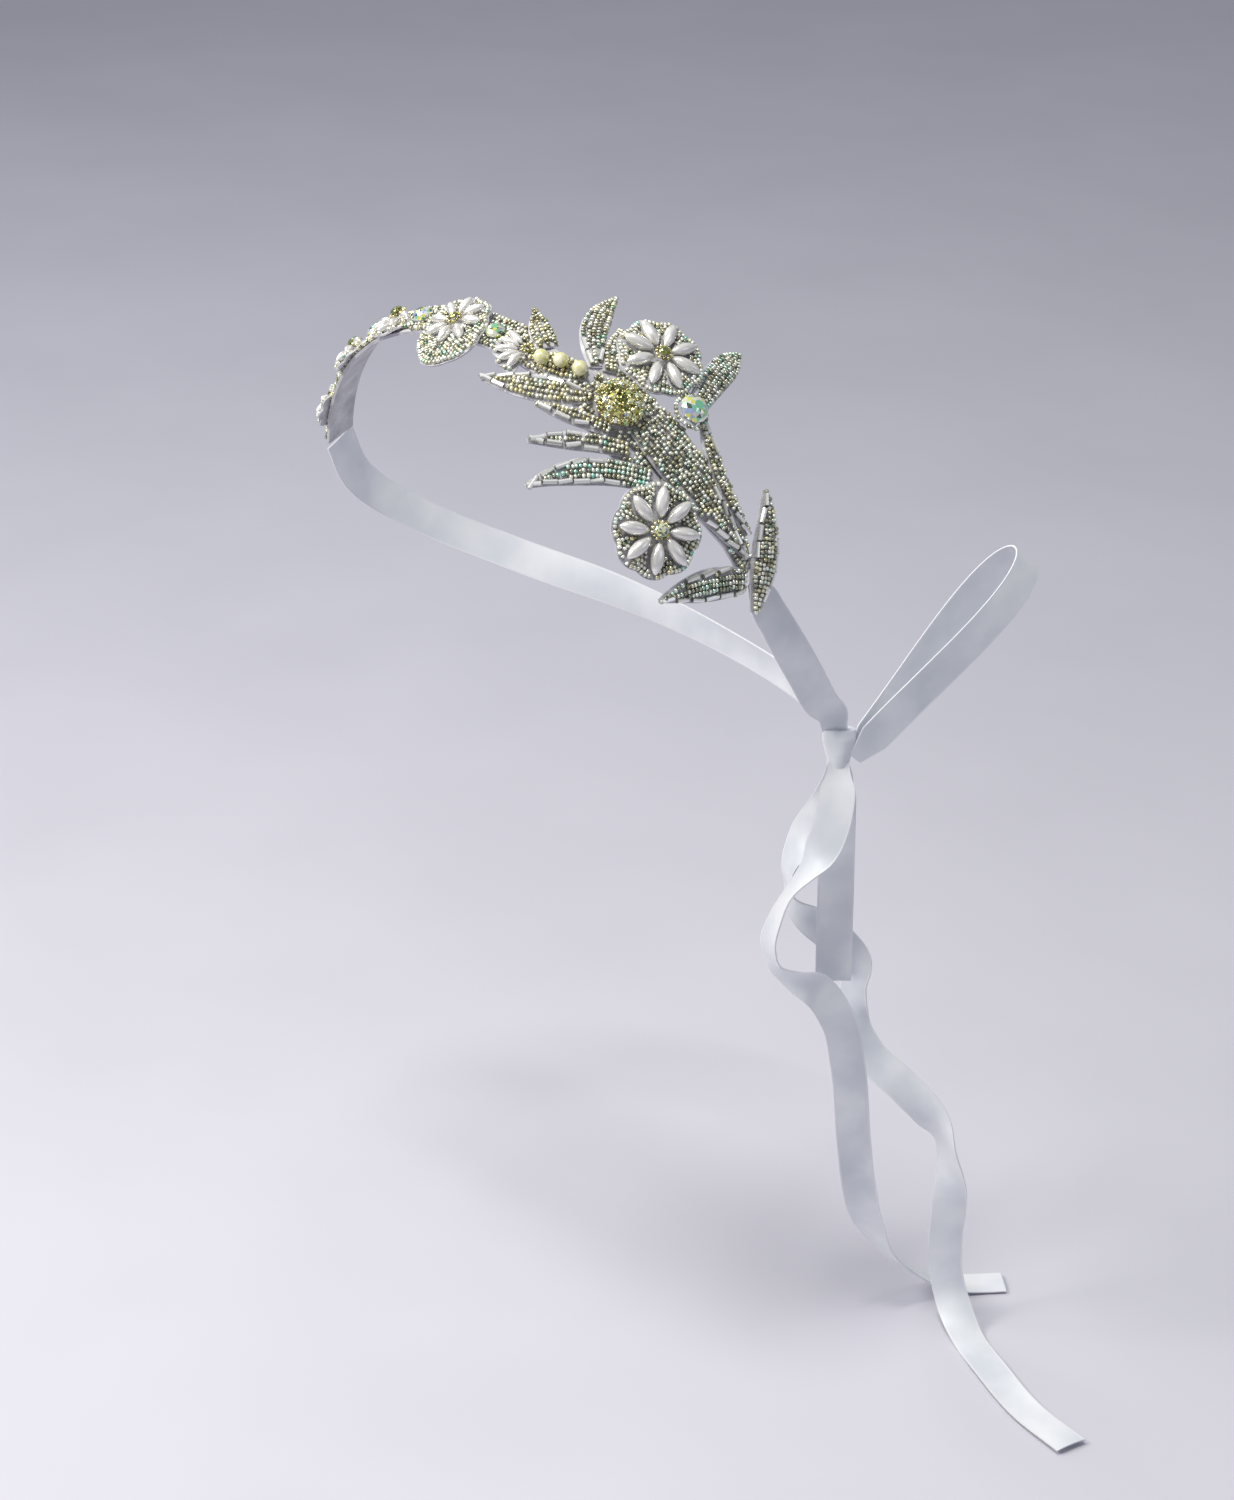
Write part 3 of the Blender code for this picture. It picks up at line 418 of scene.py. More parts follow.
def slab(name, over, under, made_of, closed=False, marks=None):
    """A closed solid between two grids of points, with the grids' own marks as its UV map if given."""
    rows, columns = over.shape[:2]
    points = np.concatenate((over.reshape(-1, 3), under.reshape(-1, 3)))
    half = rows * columns
    spans = columns if closed else columns - 1

    def corner(side, row, column):
        return side * half + row * columns + column % columns

    faces = []
    for row in range(rows - 1):
        for column in range(spans):
            quad = [(row, column), (row, column + 1), (row + 1, column + 1), (row + 1, column)]
            faces.append([corner(0, *place) for place in quad])
            faces.append([corner(1, *place) for place in reversed(quad)])
    rims = [[(row, column), (row, column + 1)] for row in (0, rows - 1) for column in range(spans)]
    if not closed:
        rims += [[(row, column), (row + 1, column)] for column in (0, columns - 1) for row in range(rows - 1)]
    for start, end in rims:
        faces.append([corner(0, *start), corner(0, *end), corner(1, *end), corner(1, *start)])
    mesh = as_mesh(name, points, faces)
    if marks is not None:
        both = np.concatenate((marks.reshape(-1, 2), marks.reshape(-1, 2)))
        corners = np.zeros(len(mesh.loops), int)
        mesh.loops.foreach_get("vertex_index", corners)
        mesh.uv_layers.new(name="marks").data.foreach_set("uv", both[corners].ravel())
    shape = bmesh.new()
    shape.from_mesh(mesh)
    bmesh.ops.recalc_face_normals(shape, faces=shape.faces)
    shape.to_mesh(mesh)
    shape.free()
    mesh.shade_smooth()
    mesh.set_sharp_from_angle(angle=math.radians(SHARP_ANGLE))
    mesh.materials.append(made_of)
    piece = stand(name, mesh)
    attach(piece, "root")
    return piece


# Silver-lined seed beads: clear and tinted glass over a mirror bore, fired in a coat of aurora colours. Each
# bead carries a painted highlight: one bright spot in the middle of its outer side, white, cream or green
# after the glass. Around it is a rim of the same glass, darkened as painted shade.
SEED_PAINTED_HIGHLIGHT = 0.86
seed_glass, seed_nodes, seed_shader = finish(
    "silver-lined seed bead", "#E2E3D6", Metallic=0.45, Roughness=0.24, Coat_Weight=0.8, Coat_Roughness=0.05)
seed_tone = add(seed_nodes, "ShaderNodeAttribute", attribute_name="tone").outputs["Fac"]
seed_highlight_colours = add(seed_nodes, "ShaderNodeValToRGB", {"Fac": seed_tone}, stops=(
    (0.0, "#FFF5C4"), (0.2, "#FFFBE0"), (0.38, "#FFFFF6"), (0.6, "#FFFFFF"), (0.76, "#E6FAF2"),
    (1.0, "#A2E6D6")))
seed_shaded_rim_colours = add(seed_nodes, "ShaderNodeValToRGB", {"Fac": seed_tone}, stops=(
    (0.0, "#C8C49C"), (0.35, "#C1BFA8"), (0.6, "#B6B8AC"), (0.8, "#9EB2A6"), (1.0, "#74A090")))
# Painted glints: a random share of the beads is painted white as if it caught the lamps, and the rest in
# dimmer steps of olive grey.
seed_glint_share = add(seed_nodes, "ShaderNodeAttribute", attribute_name="spark").outputs["Fac"]
seed_painted_glint = add(seed_nodes, "ShaderNodeValToRGB", {"Fac": seed_glint_share}, stops=(
    (0.0, "#9A9988"), (0.2, "#BEBDAC"), (0.42, "#E8E7DA"), (0.6, "#FFFFFA")))
seed_painted_glint.color_ramp.interpolation = "CONSTANT"


def spot(tree, axes, near, far):
    """How far a point of a bead lies from the middle of its outer side, 0 up to near and 1 from far on: the
    mask that places the painted highlights and the painted shade on the beads.
    """
    grain = add(tree, "ShaderNodeAttribute", attribute_name="grain").outputs["Vector"]
    flat = add(tree, "ShaderNodeVectorMath", {0: grain, 1: axes}, operation="MULTIPLY")
    away = add(tree, "ShaderNodeVectorMath", {0: flat.outputs[0]}, operation="LENGTH")
    return add(tree, "ShaderNodeMapRange", {
        "Value": away.outputs["Value"], "From Min": near * MM, "From Max": far * MM}).outputs[0]


# Painted highlight: bright in the middle of each bead's outer side, fading to a rim of painted shade.
seed_highlight_falloff = spot(seed_nodes, (0.0, 1.0, 1.0), 0.5 * SEED_PAINTED_HIGHLIGHT, SEED_PAINTED_HIGHLIGHT)
seed_highlit_glass = add(seed_nodes, "ShaderNodeMix", {
    0: seed_highlight_falloff, 6: seed_highlight_colours.outputs["Color"], 7: seed_shaded_rim_colours.outputs["Color"]}, data_type="RGBA")
seed_tone_and_painted_light = add(seed_nodes, "ShaderNodeMix", {
    0: 1.0, 6: seed_highlit_glass.outputs[2], 7: seed_painted_glint.outputs["Color"]}, data_type="RGBA", blend_type="MULTIPLY")
seed_nodes.links.new(seed_tone_and_painted_light.outputs[2], seed_shader.inputs["Base Color"])
SEEDS = (seed_tree, (SEED_DIAMETER, SEED_LENGTH, SEED_HOLE), seed_glass, "beadwork")

# Silver-lined bugle beads: short clear tubes over a mirror bore. A bright streak along the middle of each
# tube's outer side is a painted highlight. The grey beside it, and the dark where two ends meet, are painted
# shade.
BUGLE_PAINTED_HIGHLIGHT = 0.62
bugle_glass, bugle_nodes, bugle_shader = finish(
    "silver-lined bugle bead", "#F0F1EE", Metallic=0.55, Roughness=0.16, Coat_Weight=0.9, Coat_Roughness=0.04)
bugle_highlight_falloff = spot(bugle_nodes, (0.0, 1.0, 0.0), 0.5 * BUGLE_PAINTED_HIGHLIGHT, 1.4 * BUGLE_PAINTED_HIGHLIGHT)
bugle_end_shade = spot(bugle_nodes, (0.0, 0.0, 1.0), 0.44 * BUGLE_LENGTH, 0.49 * BUGLE_LENGTH)
bugle_painted_light_mask = add(bugle_nodes, "ShaderNodeMath", {0: bugle_highlight_falloff, 1: bugle_end_shade}, operation="MAXIMUM")
bugle_highlight_and_shade = add(bugle_nodes, "ShaderNodeValToRGB", {"Fac": bugle_painted_light_mask.outputs[0]}, stops=(
    (0.0, "#FFFFFF"), (0.55, "#E4E4DC"), (1.0, "#85857A")))
bugle_nodes.links.new(bugle_highlight_and_shade.outputs["Color"], bugle_shader.inputs["Base Color"])


def leaf_lines(row):
    """A leaf's middle line, the way to its left, its half width and its seat, from base to tip."""
    base_s, base_t, tip_s, tip_t, bend, width, base_width, widest, rise, lift, crest = row[1:12]
    share = LEAF_SHARE
    base = np.array((base_s, base_t))
    chord = np.array((tip_s, tip_t)) - base
    left = unit(np.array((-chord[1], chord[0])))
    middle = base + share[:, None] * chord + (bend * 4.0 * share * (1.0 - share))[:, None] * left
    heading = unit(chord + (bend * 4.0 * (1.0 - 2.0 * share))[:, None] * left)
    side = np.stack((-heading[:, 1], heading[:, 0]), axis=-1)
    swell = base_width + (width - base_width) * np.sin(math.pi / 2.0 * share / widest)
    taper = LEAF_TIP_WIDTH + (width - LEAF_TIP_WIDTH) * np.cos(
        math.pi / 2.0 * (share - widest) / (1.0 - widest))
    half = np.where(share < widest, swell, taper) / 2.0
    under = LEAF_SEAT + rise + lift * share ** 2
    dome = crest * np.sin(math.pi * (DOME_START + share * (DOME_END - DOME_START)))
    return middle, side, half, under, dome


def leaf_path(lines, offset, height, keep):
    """A line sewn along the kept stretch of a leaf, at an offset from its middle, and the way out there."""
    middle, side, half, under, dome = lines
    offset = np.broadcast_to(offset, half.shape)
    level = under + CLOTH + height + CLOTH_DOME * dome * (1.0 - (offset / (half + CLOTH_MARGIN)) ** 2)
    place = middle + side * offset[:, None]
    path = seat(place[:, 0], place[:, 1], level)[keep]
    return path, head_normal(path)


leaf_footprints = []
for row in LEAVES:
    name, bugled, warmth = row[0], row[12:16], row[16]
    lines = leaf_lines(row)
    middle, side, half, under, dome = lines
    leaf_footprints.append((middle, half))
    spans = np.linspace(-1.0, 1.0, CLOTH_COLUMNS)
    reach = (half + CLOTH_MARGIN)[:, None] * spans
    place = middle[:, None, :] + side[:, None, :] * reach[:, :, None]
    rise = CLOTH_DOME * dome[:, None] * (1.0 - spans ** 2)
    over = seat(place[:, :, 0], place[:, :, 1], under[:, None] + CLOTH + rise)
    below = seat(place[:, :, 0], place[:, :, 1], under[:, None] + rise)
    slab(name + "_cloth", over, below, cotton)

    tube_edge = half - EDGE_INSET - BUGLE_DIAMETER / 2.0 + CLOTH_MARGIN
    seed_edge = half - EDGE_INSET - SEED_DIAMETER / 2.0 + CLOTH_MARGIN
    tubes, rows = [], []
    for sign, start, end in ((1.0, *bugled[:2]), (-1.0, *bugled[2:])):
        piped = (LEAF_SHARE >= start) & (LEAF_SHARE <= end) & (end > start)
        if piped.any():
            tubes.append(threaded(*leaf_path(lines, sign * tube_edge, BUGLE_DIAMETER / 2.0, piped),
                                  BUGLE_PITCH, BUGLE_LENGTH))
        for bare in (LEAF_SHARE < start, LEAF_SHARE > end) if piped.any() else (~piped,):
            if bare.sum() > 2:
                rows.append(threaded(*leaf_path(lines, sign * seed_edge, SEED_DIAMETER / 2.0, bare),
                                     SEED_PITCH))
    if tubes:
        set_beads(name + "_bugles", tubes, bugle_tree, (BUGLE_DIAMETER, BUGLE_LENGTH, BUGLE_HOLE),
                  bugle_glass, "beadwork", warmth, tilt=0.3, vary=0.03)
    for k in range(-HALF_ROWS, HALF_ROWS + 1):
        keep = np.abs(k * ROW_PITCH) <= seed_edge - EDGE_CLEAR + ROW_SLACK
        if keep.sum() > 2:
            rows.append(threaded(*leaf_path(lines, k * ROW_PITCH, SEED_DIAMETER / 2.0, keep), SEED_PITCH))
    beads = set_beads(name + "_seeds", rows, *SEEDS, warmth,
                      loose=STRIP_LOOSE if "stem" in name else SEWN_LOOSE)
    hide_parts(name)


# The seed beads on the strip itself: the same silver-lined glass, sewn down between the motifs in rows
# along the band, less evenly than on the leaves, so that little of the cotton shows between them.
STRIP_EDGES = (
    # along, front edge, back edge
    (-119.0, -6.0, 6.0),
    (-20.0, -7.0, 7.0),
    (20.0, -7.0, 7.0),
    (24.0, -7.0, 4.8),
    (37.0, -7.0, 4.8),
    (42.0, -7.4, 12.8),
    (48.0, -11.0, 13.2),
    (54.0, -12.0, 12.8),
    (60.0, -12.4, 13.0),
    (68.0, -13.2, 13.6),
    (75.0, -13.2, 12.2),
    (80.0, -10.0, 11.4),
    (86.0, -5.4, 12.4),
    (95.0, -4.0, 9.4),
    (108.0, -2.6, 6.6),
    (113.0, -3.0, 5.0),
    (119.0, -3.6, 2.4),
)
STRIP_WARMTH = 0.42
STRIP_END = 118.0
STRIP_STEP = 0.5
STRIP_ROWS_TO = 12.28
STRIP_MARGIN = 0.7
LEAF_CLEAR = 0.3
SHORTEST_ROW = 3  # steps
CLEARED = (
    # along, across, radius: what is sewn on top of the strip
    (6.4, -1.5, 3.9),
    (-28.4, -1.0, 4.3),
    (-58.8, 0.0, 4.1),
    (-89.6, 0.0, 4.1),
    (-8.7, -3.2, 10.6),
    (52.3, 0.3, 7.4),
    (85.6, -19.0, 13.0),
    (69.0, 17.6, 5.2),
)
strip_edges = np.array(STRIP_EDGES)
strip_along = np.arange(-STRIP_END, STRIP_END, STRIP_STEP)
strip_front, strip_back = (np.interp(strip_along, strip_edges[:, 0], strip_edges[:, k]) for k in (1, 2))
strip_rows = []
for across in np.arange(-STRIP_ROWS_TO, STRIP_ROWS_TO, ROW_PITCH):
    free = (across > strip_front + STRIP_MARGIN) & (across < strip_back - STRIP_MARGIN)
    for s, t, radius in CLEARED:
        free &= np.hypot(strip_along - s, across - t) > radius
    for middle, half in leaf_footprints:
        away = np.hypot(strip_along[:, None] - middle[:, 0], across - middle[:, 1])
        free &= (away > half + LEAF_CLEAR).all(axis=1)
    breaks = np.flatnonzero(np.diff(np.concatenate(([0], free.astype(int), [0]))))
    for start, end in zip(breaks[::2], breaks[1::2]):
        if end - start > SHORTEST_ROW:
            path = seat(strip_along[start:end], across, GAP + STRIP_THICK + SEED_DIAMETER / 2.0)
            strip_rows.append(threaded(path, head_normal(path), SEED_PITCH))
set_beads("strip_seeds", strip_rows, *SEEDS, STRIP_WARMTH, loose=STRIP_LOOSE)


# The pearl flowers: long imitation rice pearls threaded round a hub on a scalloped cotton base, which is
# edged with seed beads. A ring of gold beads, in all but one with a small cut stone in it, closes the
# middle. Some are whole, and the rest are half flowers that fan out over the band's front edge.
BASE_THICK = 1.0
BASE_LIFT = 0.2
BASE_CURL = 0.35
BASE_MIDDLE = 0.06
BASE_RINGS = 6
BASE_SPOKES = 96
SCALLOP = 1.2
FLAP_DIRECTION = 294.0
BORDER_INSET = 0.95
# The border row's painted glints are dimmed less, so that the row is painted brighter.
BORDER_GLINT_DIMMING = 0.55
BASE_ROW = 1.4
PEARL_INSET = 1.5
FAN_INSET = 0.9
PEARL_POINT = 0.2
PEARL_LIFT = 0.1
PEARL_CLEAR = 0.3
PEARL_COVER = 1.05
PEARL_ROUNDNESS = 0.7
HUB_THICK = 1.2
HUB_CLEAR = 1.0
HUB_MARGIN = 0.45
FAN_HUB = 1.6
HUB_PITCH = 1.3
HUB_STEP = 10.0  # degrees
GOLD_DIAMETER = 1.35
GOLD_LENGTH = 1.0
STONE_DEPTH = 0.8
FLOWERS = (
    # name, along, across, radius, first petal, petals, petal turn, pearl inner, pearl radius, seat, lean,
    # flap, stone radius, stone tone
    ("flower_a", 85.6, -19.0, 15.2, 42.0, 8, 45.0, 3.3, 2.2, 2.6, 3.0, 0.0, 2.2, 0.25),
    ("flower_b", 50.2, 25.4, 14.6, 20.0, 8, 45.0, 3.1, 2.0, 3.3, 6.0, 0.0, 1.9, 0.85),
    ("flower_e", -8.7, -3.2, 11.9, 10.0, 8, 45.0, 2.8, 1.6, 2.3, 8.0, 8.0, 1.6, 0.85),
    ("flower_c", 20.0, -2.6, 10.6, 165.0, 5, 27.0, 2.6, 1.3, 1.7, 0.0, 0.0, 0.0, 0.0),
    ("flower_h", -43.0, 0.5, 10.6, 200.0, 5, 35.0, 3.4, 1.4, LEAF_SEAT, 0.0, 0.0, 2.2, 0.85),
    ("flower_m", -74.5, 0.5, 10.6, 200.0, 5, 35.0, 3.4, 1.4, LEAF_SEAT, 0.0, 0.0, 2.2, 0.85),
    ("flower_p", -104.5, 0.5, 10.6, 200.0, 5, 35.0, 3.4, 1.4, LEAF_SEAT, 0.0, 0.0, 2.2, 0.85),
)


def seat_frame(along, across, height, lean=0.0):
    """Origin and three directions of a flat piece sewn there: along the band, across it, and outwards."""
    origin = seat(along, across, height)
    out = head_normal(seat(along, across, 0.0))
    forward = seat(along + 1.0, across, height) - seat(along - 1.0, across, height)
    forward = unit(forward - out * (forward @ out))
    sideways = np.cross(out, forward)
    turn = math.radians(lean)
    tipped = sideways * math.cos(turn) + out * math.sin(turn)
    return origin, forward, tipped, out * math.cos(turn) - sideways * math.sin(turn)


def placed(seated, x, y, z):
    """Points of a seated piece's own plane, z above it."""
    origin, forward, sideways, out = seated
    x, y, z = np.broadcast_arrays(*(np.asarray(v, float)[..., None] for v in (x, y, z)))
    return origin + x * forward + y * sideways + z * out


def circle(seated, radius, angles, level):
    """Points round a seated piece's middle."""
    return placed(seated, radius * np.cos(angles), radius * np.sin(angles), level)


def pearl_shape(tree, given):
    """A rice pearl: a long grain drawn to a blunt point at each end of its hole."""
    ball = add(tree, "GeometryNodeMeshUVSphere", {"Segments": 16, "Rings": 14, "Radius": 0.5})
    place = add(tree, "ShaderNodeSeparateXYZ", {"Vector": add(tree, "GeometryNodeInputPosition").outputs[0]})
    level = place.outputs["Z"]
    squared = add(tree, "ShaderNodeMath", {0: level, 1: level}, operation="MULTIPLY")
    # one less the square of twice the level, kept a hair above nothing at the ends
    taper = add(tree, "ShaderNodeMath", {0: squared.outputs[0], 1: -4.0, 2: 1.001}, operation="MULTIPLY_ADD")
    narrowed = add(tree, "ShaderNodeMath", {0: taper.outputs[0], 1: given["Point"]}, operation="POWER")
    across = add(tree, "ShaderNodeMath", {0: narrowed.outputs[0], 1: given["Diameter"]}, operation="MULTIPLY")
    stretch = add(tree, "ShaderNodeCombineXYZ", {
        "X": across.outputs[0], "Y": across.outputs[0], "Z": given["Length"]})
    drawn = add(tree, "ShaderNodeVectorMath", {
        0: add(tree, "GeometryNodeInputPosition").outputs[0], 1: stretch.outputs[0]}, operation="MULTIPLY")
    return add(tree, "GeometryNodeSetPosition", {
        "Geometry": ball.outputs[0], "Position": drawn.outputs[0]}).outputs[0]


pearl_tree = bead_tree("pearls", pearl_shape, True)

# Imitation pearl: glass dipped in pearl essence, which leaves faint streaks along the grain and a
# bright silvery lustre over a soft grey body.
pearl_coat, pearl_nodes, pearl_shader = finish(
    "pearl essence", "#E9E7E3", Metallic=0.5, Roughness=0.22, Coat_Weight=0.9, Coat_Roughness=0.06)
pearl_grain = add(pearl_nodes, "ShaderNodeAttribute", attribute_name="grain").outputs["Vector"]
pearl_tone = add(pearl_nodes, "ShaderNodeAttribute", attribute_name="tone").outputs["Fac"]
pearl_place = add(pearl_nodes, "ShaderNodeMapping", {
    "Vector": pearl_grain, "Scale": (900.0, 900.0, 120.0)})
pearl_noise = add(pearl_nodes, "ShaderNodeTexNoise", {
    "Vector": pearl_place.outputs[0], "W": pearl_tone, "Scale": 1.0, "Detail": 3.0}, noise_dimensions="4D")
pearl_colours = add(pearl_nodes, "ShaderNodeValToRGB", {"Fac": pearl_noise.outputs["Fac"]}, stops=(
    (0.3, "#D2CFCA"), (0.5, "#F1EFEC"), (0.66, "#FFFEFC")))
pearl_nodes.links.new(pearl_colours.outputs["Color"], pearl_shader.inputs["Base Color"])

# Gold-lined seed beads: the same glass over a gilt bore, amber in the body with a yellow spark.
gold_glass, gold_nodes, gold_shader = finish(
    "gold-lined seed bead", "#C6BC84", Metallic=0.65, Roughness=0.18, Coat_Weight=0.8, Coat_Roughness=0.05)
gold_tone = add(gold_nodes, "ShaderNodeAttribute", attribute_name="tone").outputs["Fac"]
gold_colours = add(gold_nodes, "ShaderNodeValToRGB", {"Fac": gold_tone}, stops=(
    (0.2, "#7E7A40"), (0.5, "#D6CB8C"), (0.8, "#FBF6D2")))
gold_nodes.links.new(gold_colours.outputs["Color"], gold_shader.inputs["Base Color"])

# Cut crystal on foil: every facet gets its own colour. Part of it is the aurora coat's green, yellow and
# violet, and part is painted reflection: white facets stand for thrown-back light, and dark ones are painted
# shade. The tone of the glass itself runs from clear to olive.
crystal, crystal_nodes, crystal_shader = finish(
    "foiled crystal", "#DDE6E2", Metallic=0.55, Roughness=0.07, Coat_Weight=1.0, Coat_Roughness=0.02)
crystal_flash = add(crystal_nodes, "ShaderNodeAttribute", attribute_name="flash").outputs["Fac"]
crystal_tone = add(crystal_nodes, "ShaderNodeAttribute", attribute_name="tone").outputs["Fac"]
facet_painted_reflection = add(crystal_nodes, "ShaderNodeValToRGB", {"Fac": crystal_flash}, stops=(
    (0.0, "#5A6E62"), (0.12, "#FFFFFF"), (0.3, "#8FE0C0"), (0.42, "#FFFFFF"), (0.55, "#F2F678"),
    (0.7, "#F4FAF4"), (0.82, "#B4C8F4"), (0.92, "#7C8A80")))
facet_painted_reflection.color_ramp.interpolation = "CONSTANT"
glass_colour = add(crystal_nodes, "ShaderNodeValToRGB", {"Fac": crystal_tone}, stops=(
    (0.0, "#FFFFFF"), (0.35, "#FAF6C4"), (0.6, "#D9D07A"), (1.0, "#65661E")))
crystal_mix = add(crystal_nodes, "ShaderNodeMix", {
    0: 1.0, 6: facet_painted_reflection.outputs["Color"], 7: glass_colour.outputs["Color"]},
    data_type="RGBA", blend_type="MULTIPLY")
crystal_nodes.links.new(crystal_mix.outputs[2], crystal_shader.inputs["Base Color"])

CUT_SIDES = 12
CUT = (
    # share of the radius, share of the height, turn in facets
    (0.5, 0.0, 0.0),
    (0.98, 0.36, 0.5),
    (1.0, 0.52, 0.5),
    (0.84, 0.74, 1.0),
    (0.60, 0.92, 1.5),
    (0.34, 1.0, 2.0),
)


def cut_stones(name, stones, seed):
    """Cut stones as one mesh. Each stone is a seat, a radius, a height, a start above the seat and a tone."""
    draw = np.random.default_rng(seed)
    points, faces, flash, tones = [], [], [], []
    for seated, radius, height, start, tone in stones:
        first = len(points)
        for share_radius, share_height, turn in CUT:
            angles = 2.0 * math.pi * (np.arange(CUT_SIDES) + turn) / CUT_SIDES
            points.extend(circle(seated, radius * share_radius, angles, start + height * share_height))
        made = [[first + k for k in reversed(range(CUT_SIDES))]]
        for level in range(len(CUT) - 1):
            low = first + level * CUT_SIDES
            for k in range(CUT_SIDES):
                j = (k + 1) % CUT_SIDES
                made.append([low + k, low + j, low + CUT_SIDES + k])
                made.append([low + j, low + CUT_SIDES + j, low + CUT_SIDES + k])
        made.append([first + (len(CUT) - 1) * CUT_SIDES + k for k in range(CUT_SIDES)])
        faces.extend(made)
        # each facet draws its place on the painted reflection ramp at random
        flash.extend(draw.random(len(made)))
        tones.extend([tone] * len(made))
    mesh = as_mesh(name, points, faces)
    mesh.attributes.new("flash", "FLOAT", "FACE").data.foreach_set("value", np.array(flash))
    mesh.attributes.new("tone", "FLOAT", "FACE").data.foreach_set("value", np.array(tones))
    mesh.materials.append(crystal)
    piece = stand(name, mesh)
    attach(piece, "root")
    return piece


for number, row in enumerate(FLOWERS):
    name, along, across, radius, turn, petals, petal_turn = row[:7]
    inner, pearl_radius, height, lean, flap, stone, stone_tone = row[7:]
    seated = seat_frame(along, across, height, lean)
    whole = petals * petal_turn >= 360.0
    opening = turn - petal_turn / 2.0
    degrees = np.linspace(opening, opening + petals * petal_turn, BASE_SPOKES, endpoint=not whole)
    lobe = np.abs(np.cos(np.radians((degrees - turn) * 180.0 / petal_turn)))
    droop = flap * np.maximum(0.0, np.cos(np.radians(degrees - FLAP_DIRECTION))) ** 2
    rim = radius - SCALLOP * (1.0 - lobe) + droop
    spokes = np.radians(degrees)
    shares = np.linspace(BASE_MIDDLE, 1.0, BASE_RINGS)[:, None]
    curl = BASE_LIFT + BASE_CURL * shares ** 3 * (
        0.5 + 0.5 * np.cos(np.radians(degrees - turn) * 360.0 / petal_turn))
    base = slab(name + "_cloth", circle(seated, shares * rim, spokes, CLOTH + curl),
                circle(seated, shares * rim, spokes, curl), cotton, closed=whole)
    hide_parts(name + "_base")

    level = BASE_LIFT + CLOTH + SEED_DIAMETER / 2.0
    outer = radius - (PEARL_INSET if whole else FAN_INSET)
    middle_reach = (inner + outer) / 2.0
    strings = []
    for inset in np.arange(BORDER_INSET, radius + flap - inner, BASE_ROW):
        border = circle(seated, rim - inset, spokes, level)
        if whole:
            border = np.concatenate((border, border[:1]))
        row = threaded(border, np.broadcast_to(seated[3], border.shape), SEED_PITCH)
        flat = row[0] - seated[0]
        bearing = np.degrees(np.arctan2(flat @ seated[2], flat @ seated[1])) - turn
        from_petal = np.radians((bearing + petal_turn / 2.0) % petal_turn - petal_turn / 2.0)
        away = np.linalg.norm(flat - (flat @ seated[3])[:, None] * seated[3], axis=1)
        share = np.clip((away * np.cos(from_petal) - middle_reach) / (outer - middle_reach), -1.0, 1.0)
        shadow = PEARL_CLEAR + PEARL_COVER * pearl_radius * (1.0 - share ** 2) ** PEARL_ROUNDNESS
        free = (np.abs(away * np.sin(from_petal)) > shadow) & (away > inner + HUB_CLEAR)
        if free.any():
            strings.append(tuple(values[free] for values in row))
    for label, rows, glint_dimming in (("_border", strings[:1], BORDER_GLINT_DIMMING), ("_seeds", strings[1:], 1.0)):
        set_beads(name + label, rows, *SEEDS, glint_dimming=glint_dimming)

    rays = np.radians(turn + petal_turn * np.arange(petals))
    grains = circle(seated, middle_reach, rays, BASE_THICK + pearl_radius + PEARL_LIFT)
    points_out = circle(seated, 1.0, rays, 0.0) - seated[0]
    pearls = set_beads(
        name + "_pearls", [(grains, points_out, np.broadcast_to(seated[3], grains.shape))], pearl_tree,
        (2.0 * pearl_radius, outer - inner, 0.0), pearl_coat, "pearl", tilt=0.06, vary=0.02,
        point=PEARL_POINT)
    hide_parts(name + "_pearls")

    ring = np.radians(np.arange(0.0, 361.0, HUB_STEP))
    hub_level = BASE_THICK + GAP + pearl_radius + (HUB_THICK / 2.0 if stone else 0.0)
    hub = circle(seated, stone + HUB_MARGIN if stone else FAN_HUB, ring, hub_level)
    set_beads(name + "_hub", [threaded(hub, np.broadcast_to(seated[3], hub.shape), HUB_PITCH)], seed_tree,
              (GOLD_DIAMETER, GOLD_LENGTH, SEED_HOLE), gold_glass, "gilt")
    if stone:
        middle_stone = cut_stones(
            name + "_stone", [(seated, stone, stone * STONE_DEPTH, hub_level + GAP, stone_tone)],
            number)
        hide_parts(name + "_stone")


# The pod's three round ivory pearls: glass balls dipped in pearl essence and sewn down side by side
# through their holes, in a border of cream seed beads.
POD_PEARL_RADIUS = 2.45
POD_PEARL_SEAT = 3.2
POD_PEARLS = (("pod_pearl_1", 26.2, -3.6), ("pod_pearl_2", 31.2, -0.7), ("pod_pearl_3", 36.9, 0.8))

# Ivory pearl: the same dipped glass, cream to yellow-green in the body.
ivory_coat, ivory_nodes, ivory_shader = finish(
    "ivory pearl essence", "#E9E4B8", Metallic=0.15, Roughness=0.18, Coat_Weight=0.8, Coat_Roughness=0.06)
ivory_place = add(ivory_nodes, "ShaderNodeTexCoord").outputs["Object"]
ivory_noise = add(ivory_nodes, "ShaderNodeTexNoise", {"Vector": ivory_place, "Scale": 380.0})
ivory_colours = add(ivory_nodes, "ShaderNodeValToRGB", {"Fac": ivory_noise.outputs["Fac"]}, stops=(
    (0.35, "#D3D08C"), (0.55, "#E9E5BC"), (0.7, "#F6F3DC")))
ivory_nodes.links.new(ivory_colours.outputs["Color"], ivory_shader.inputs["Base Color"])

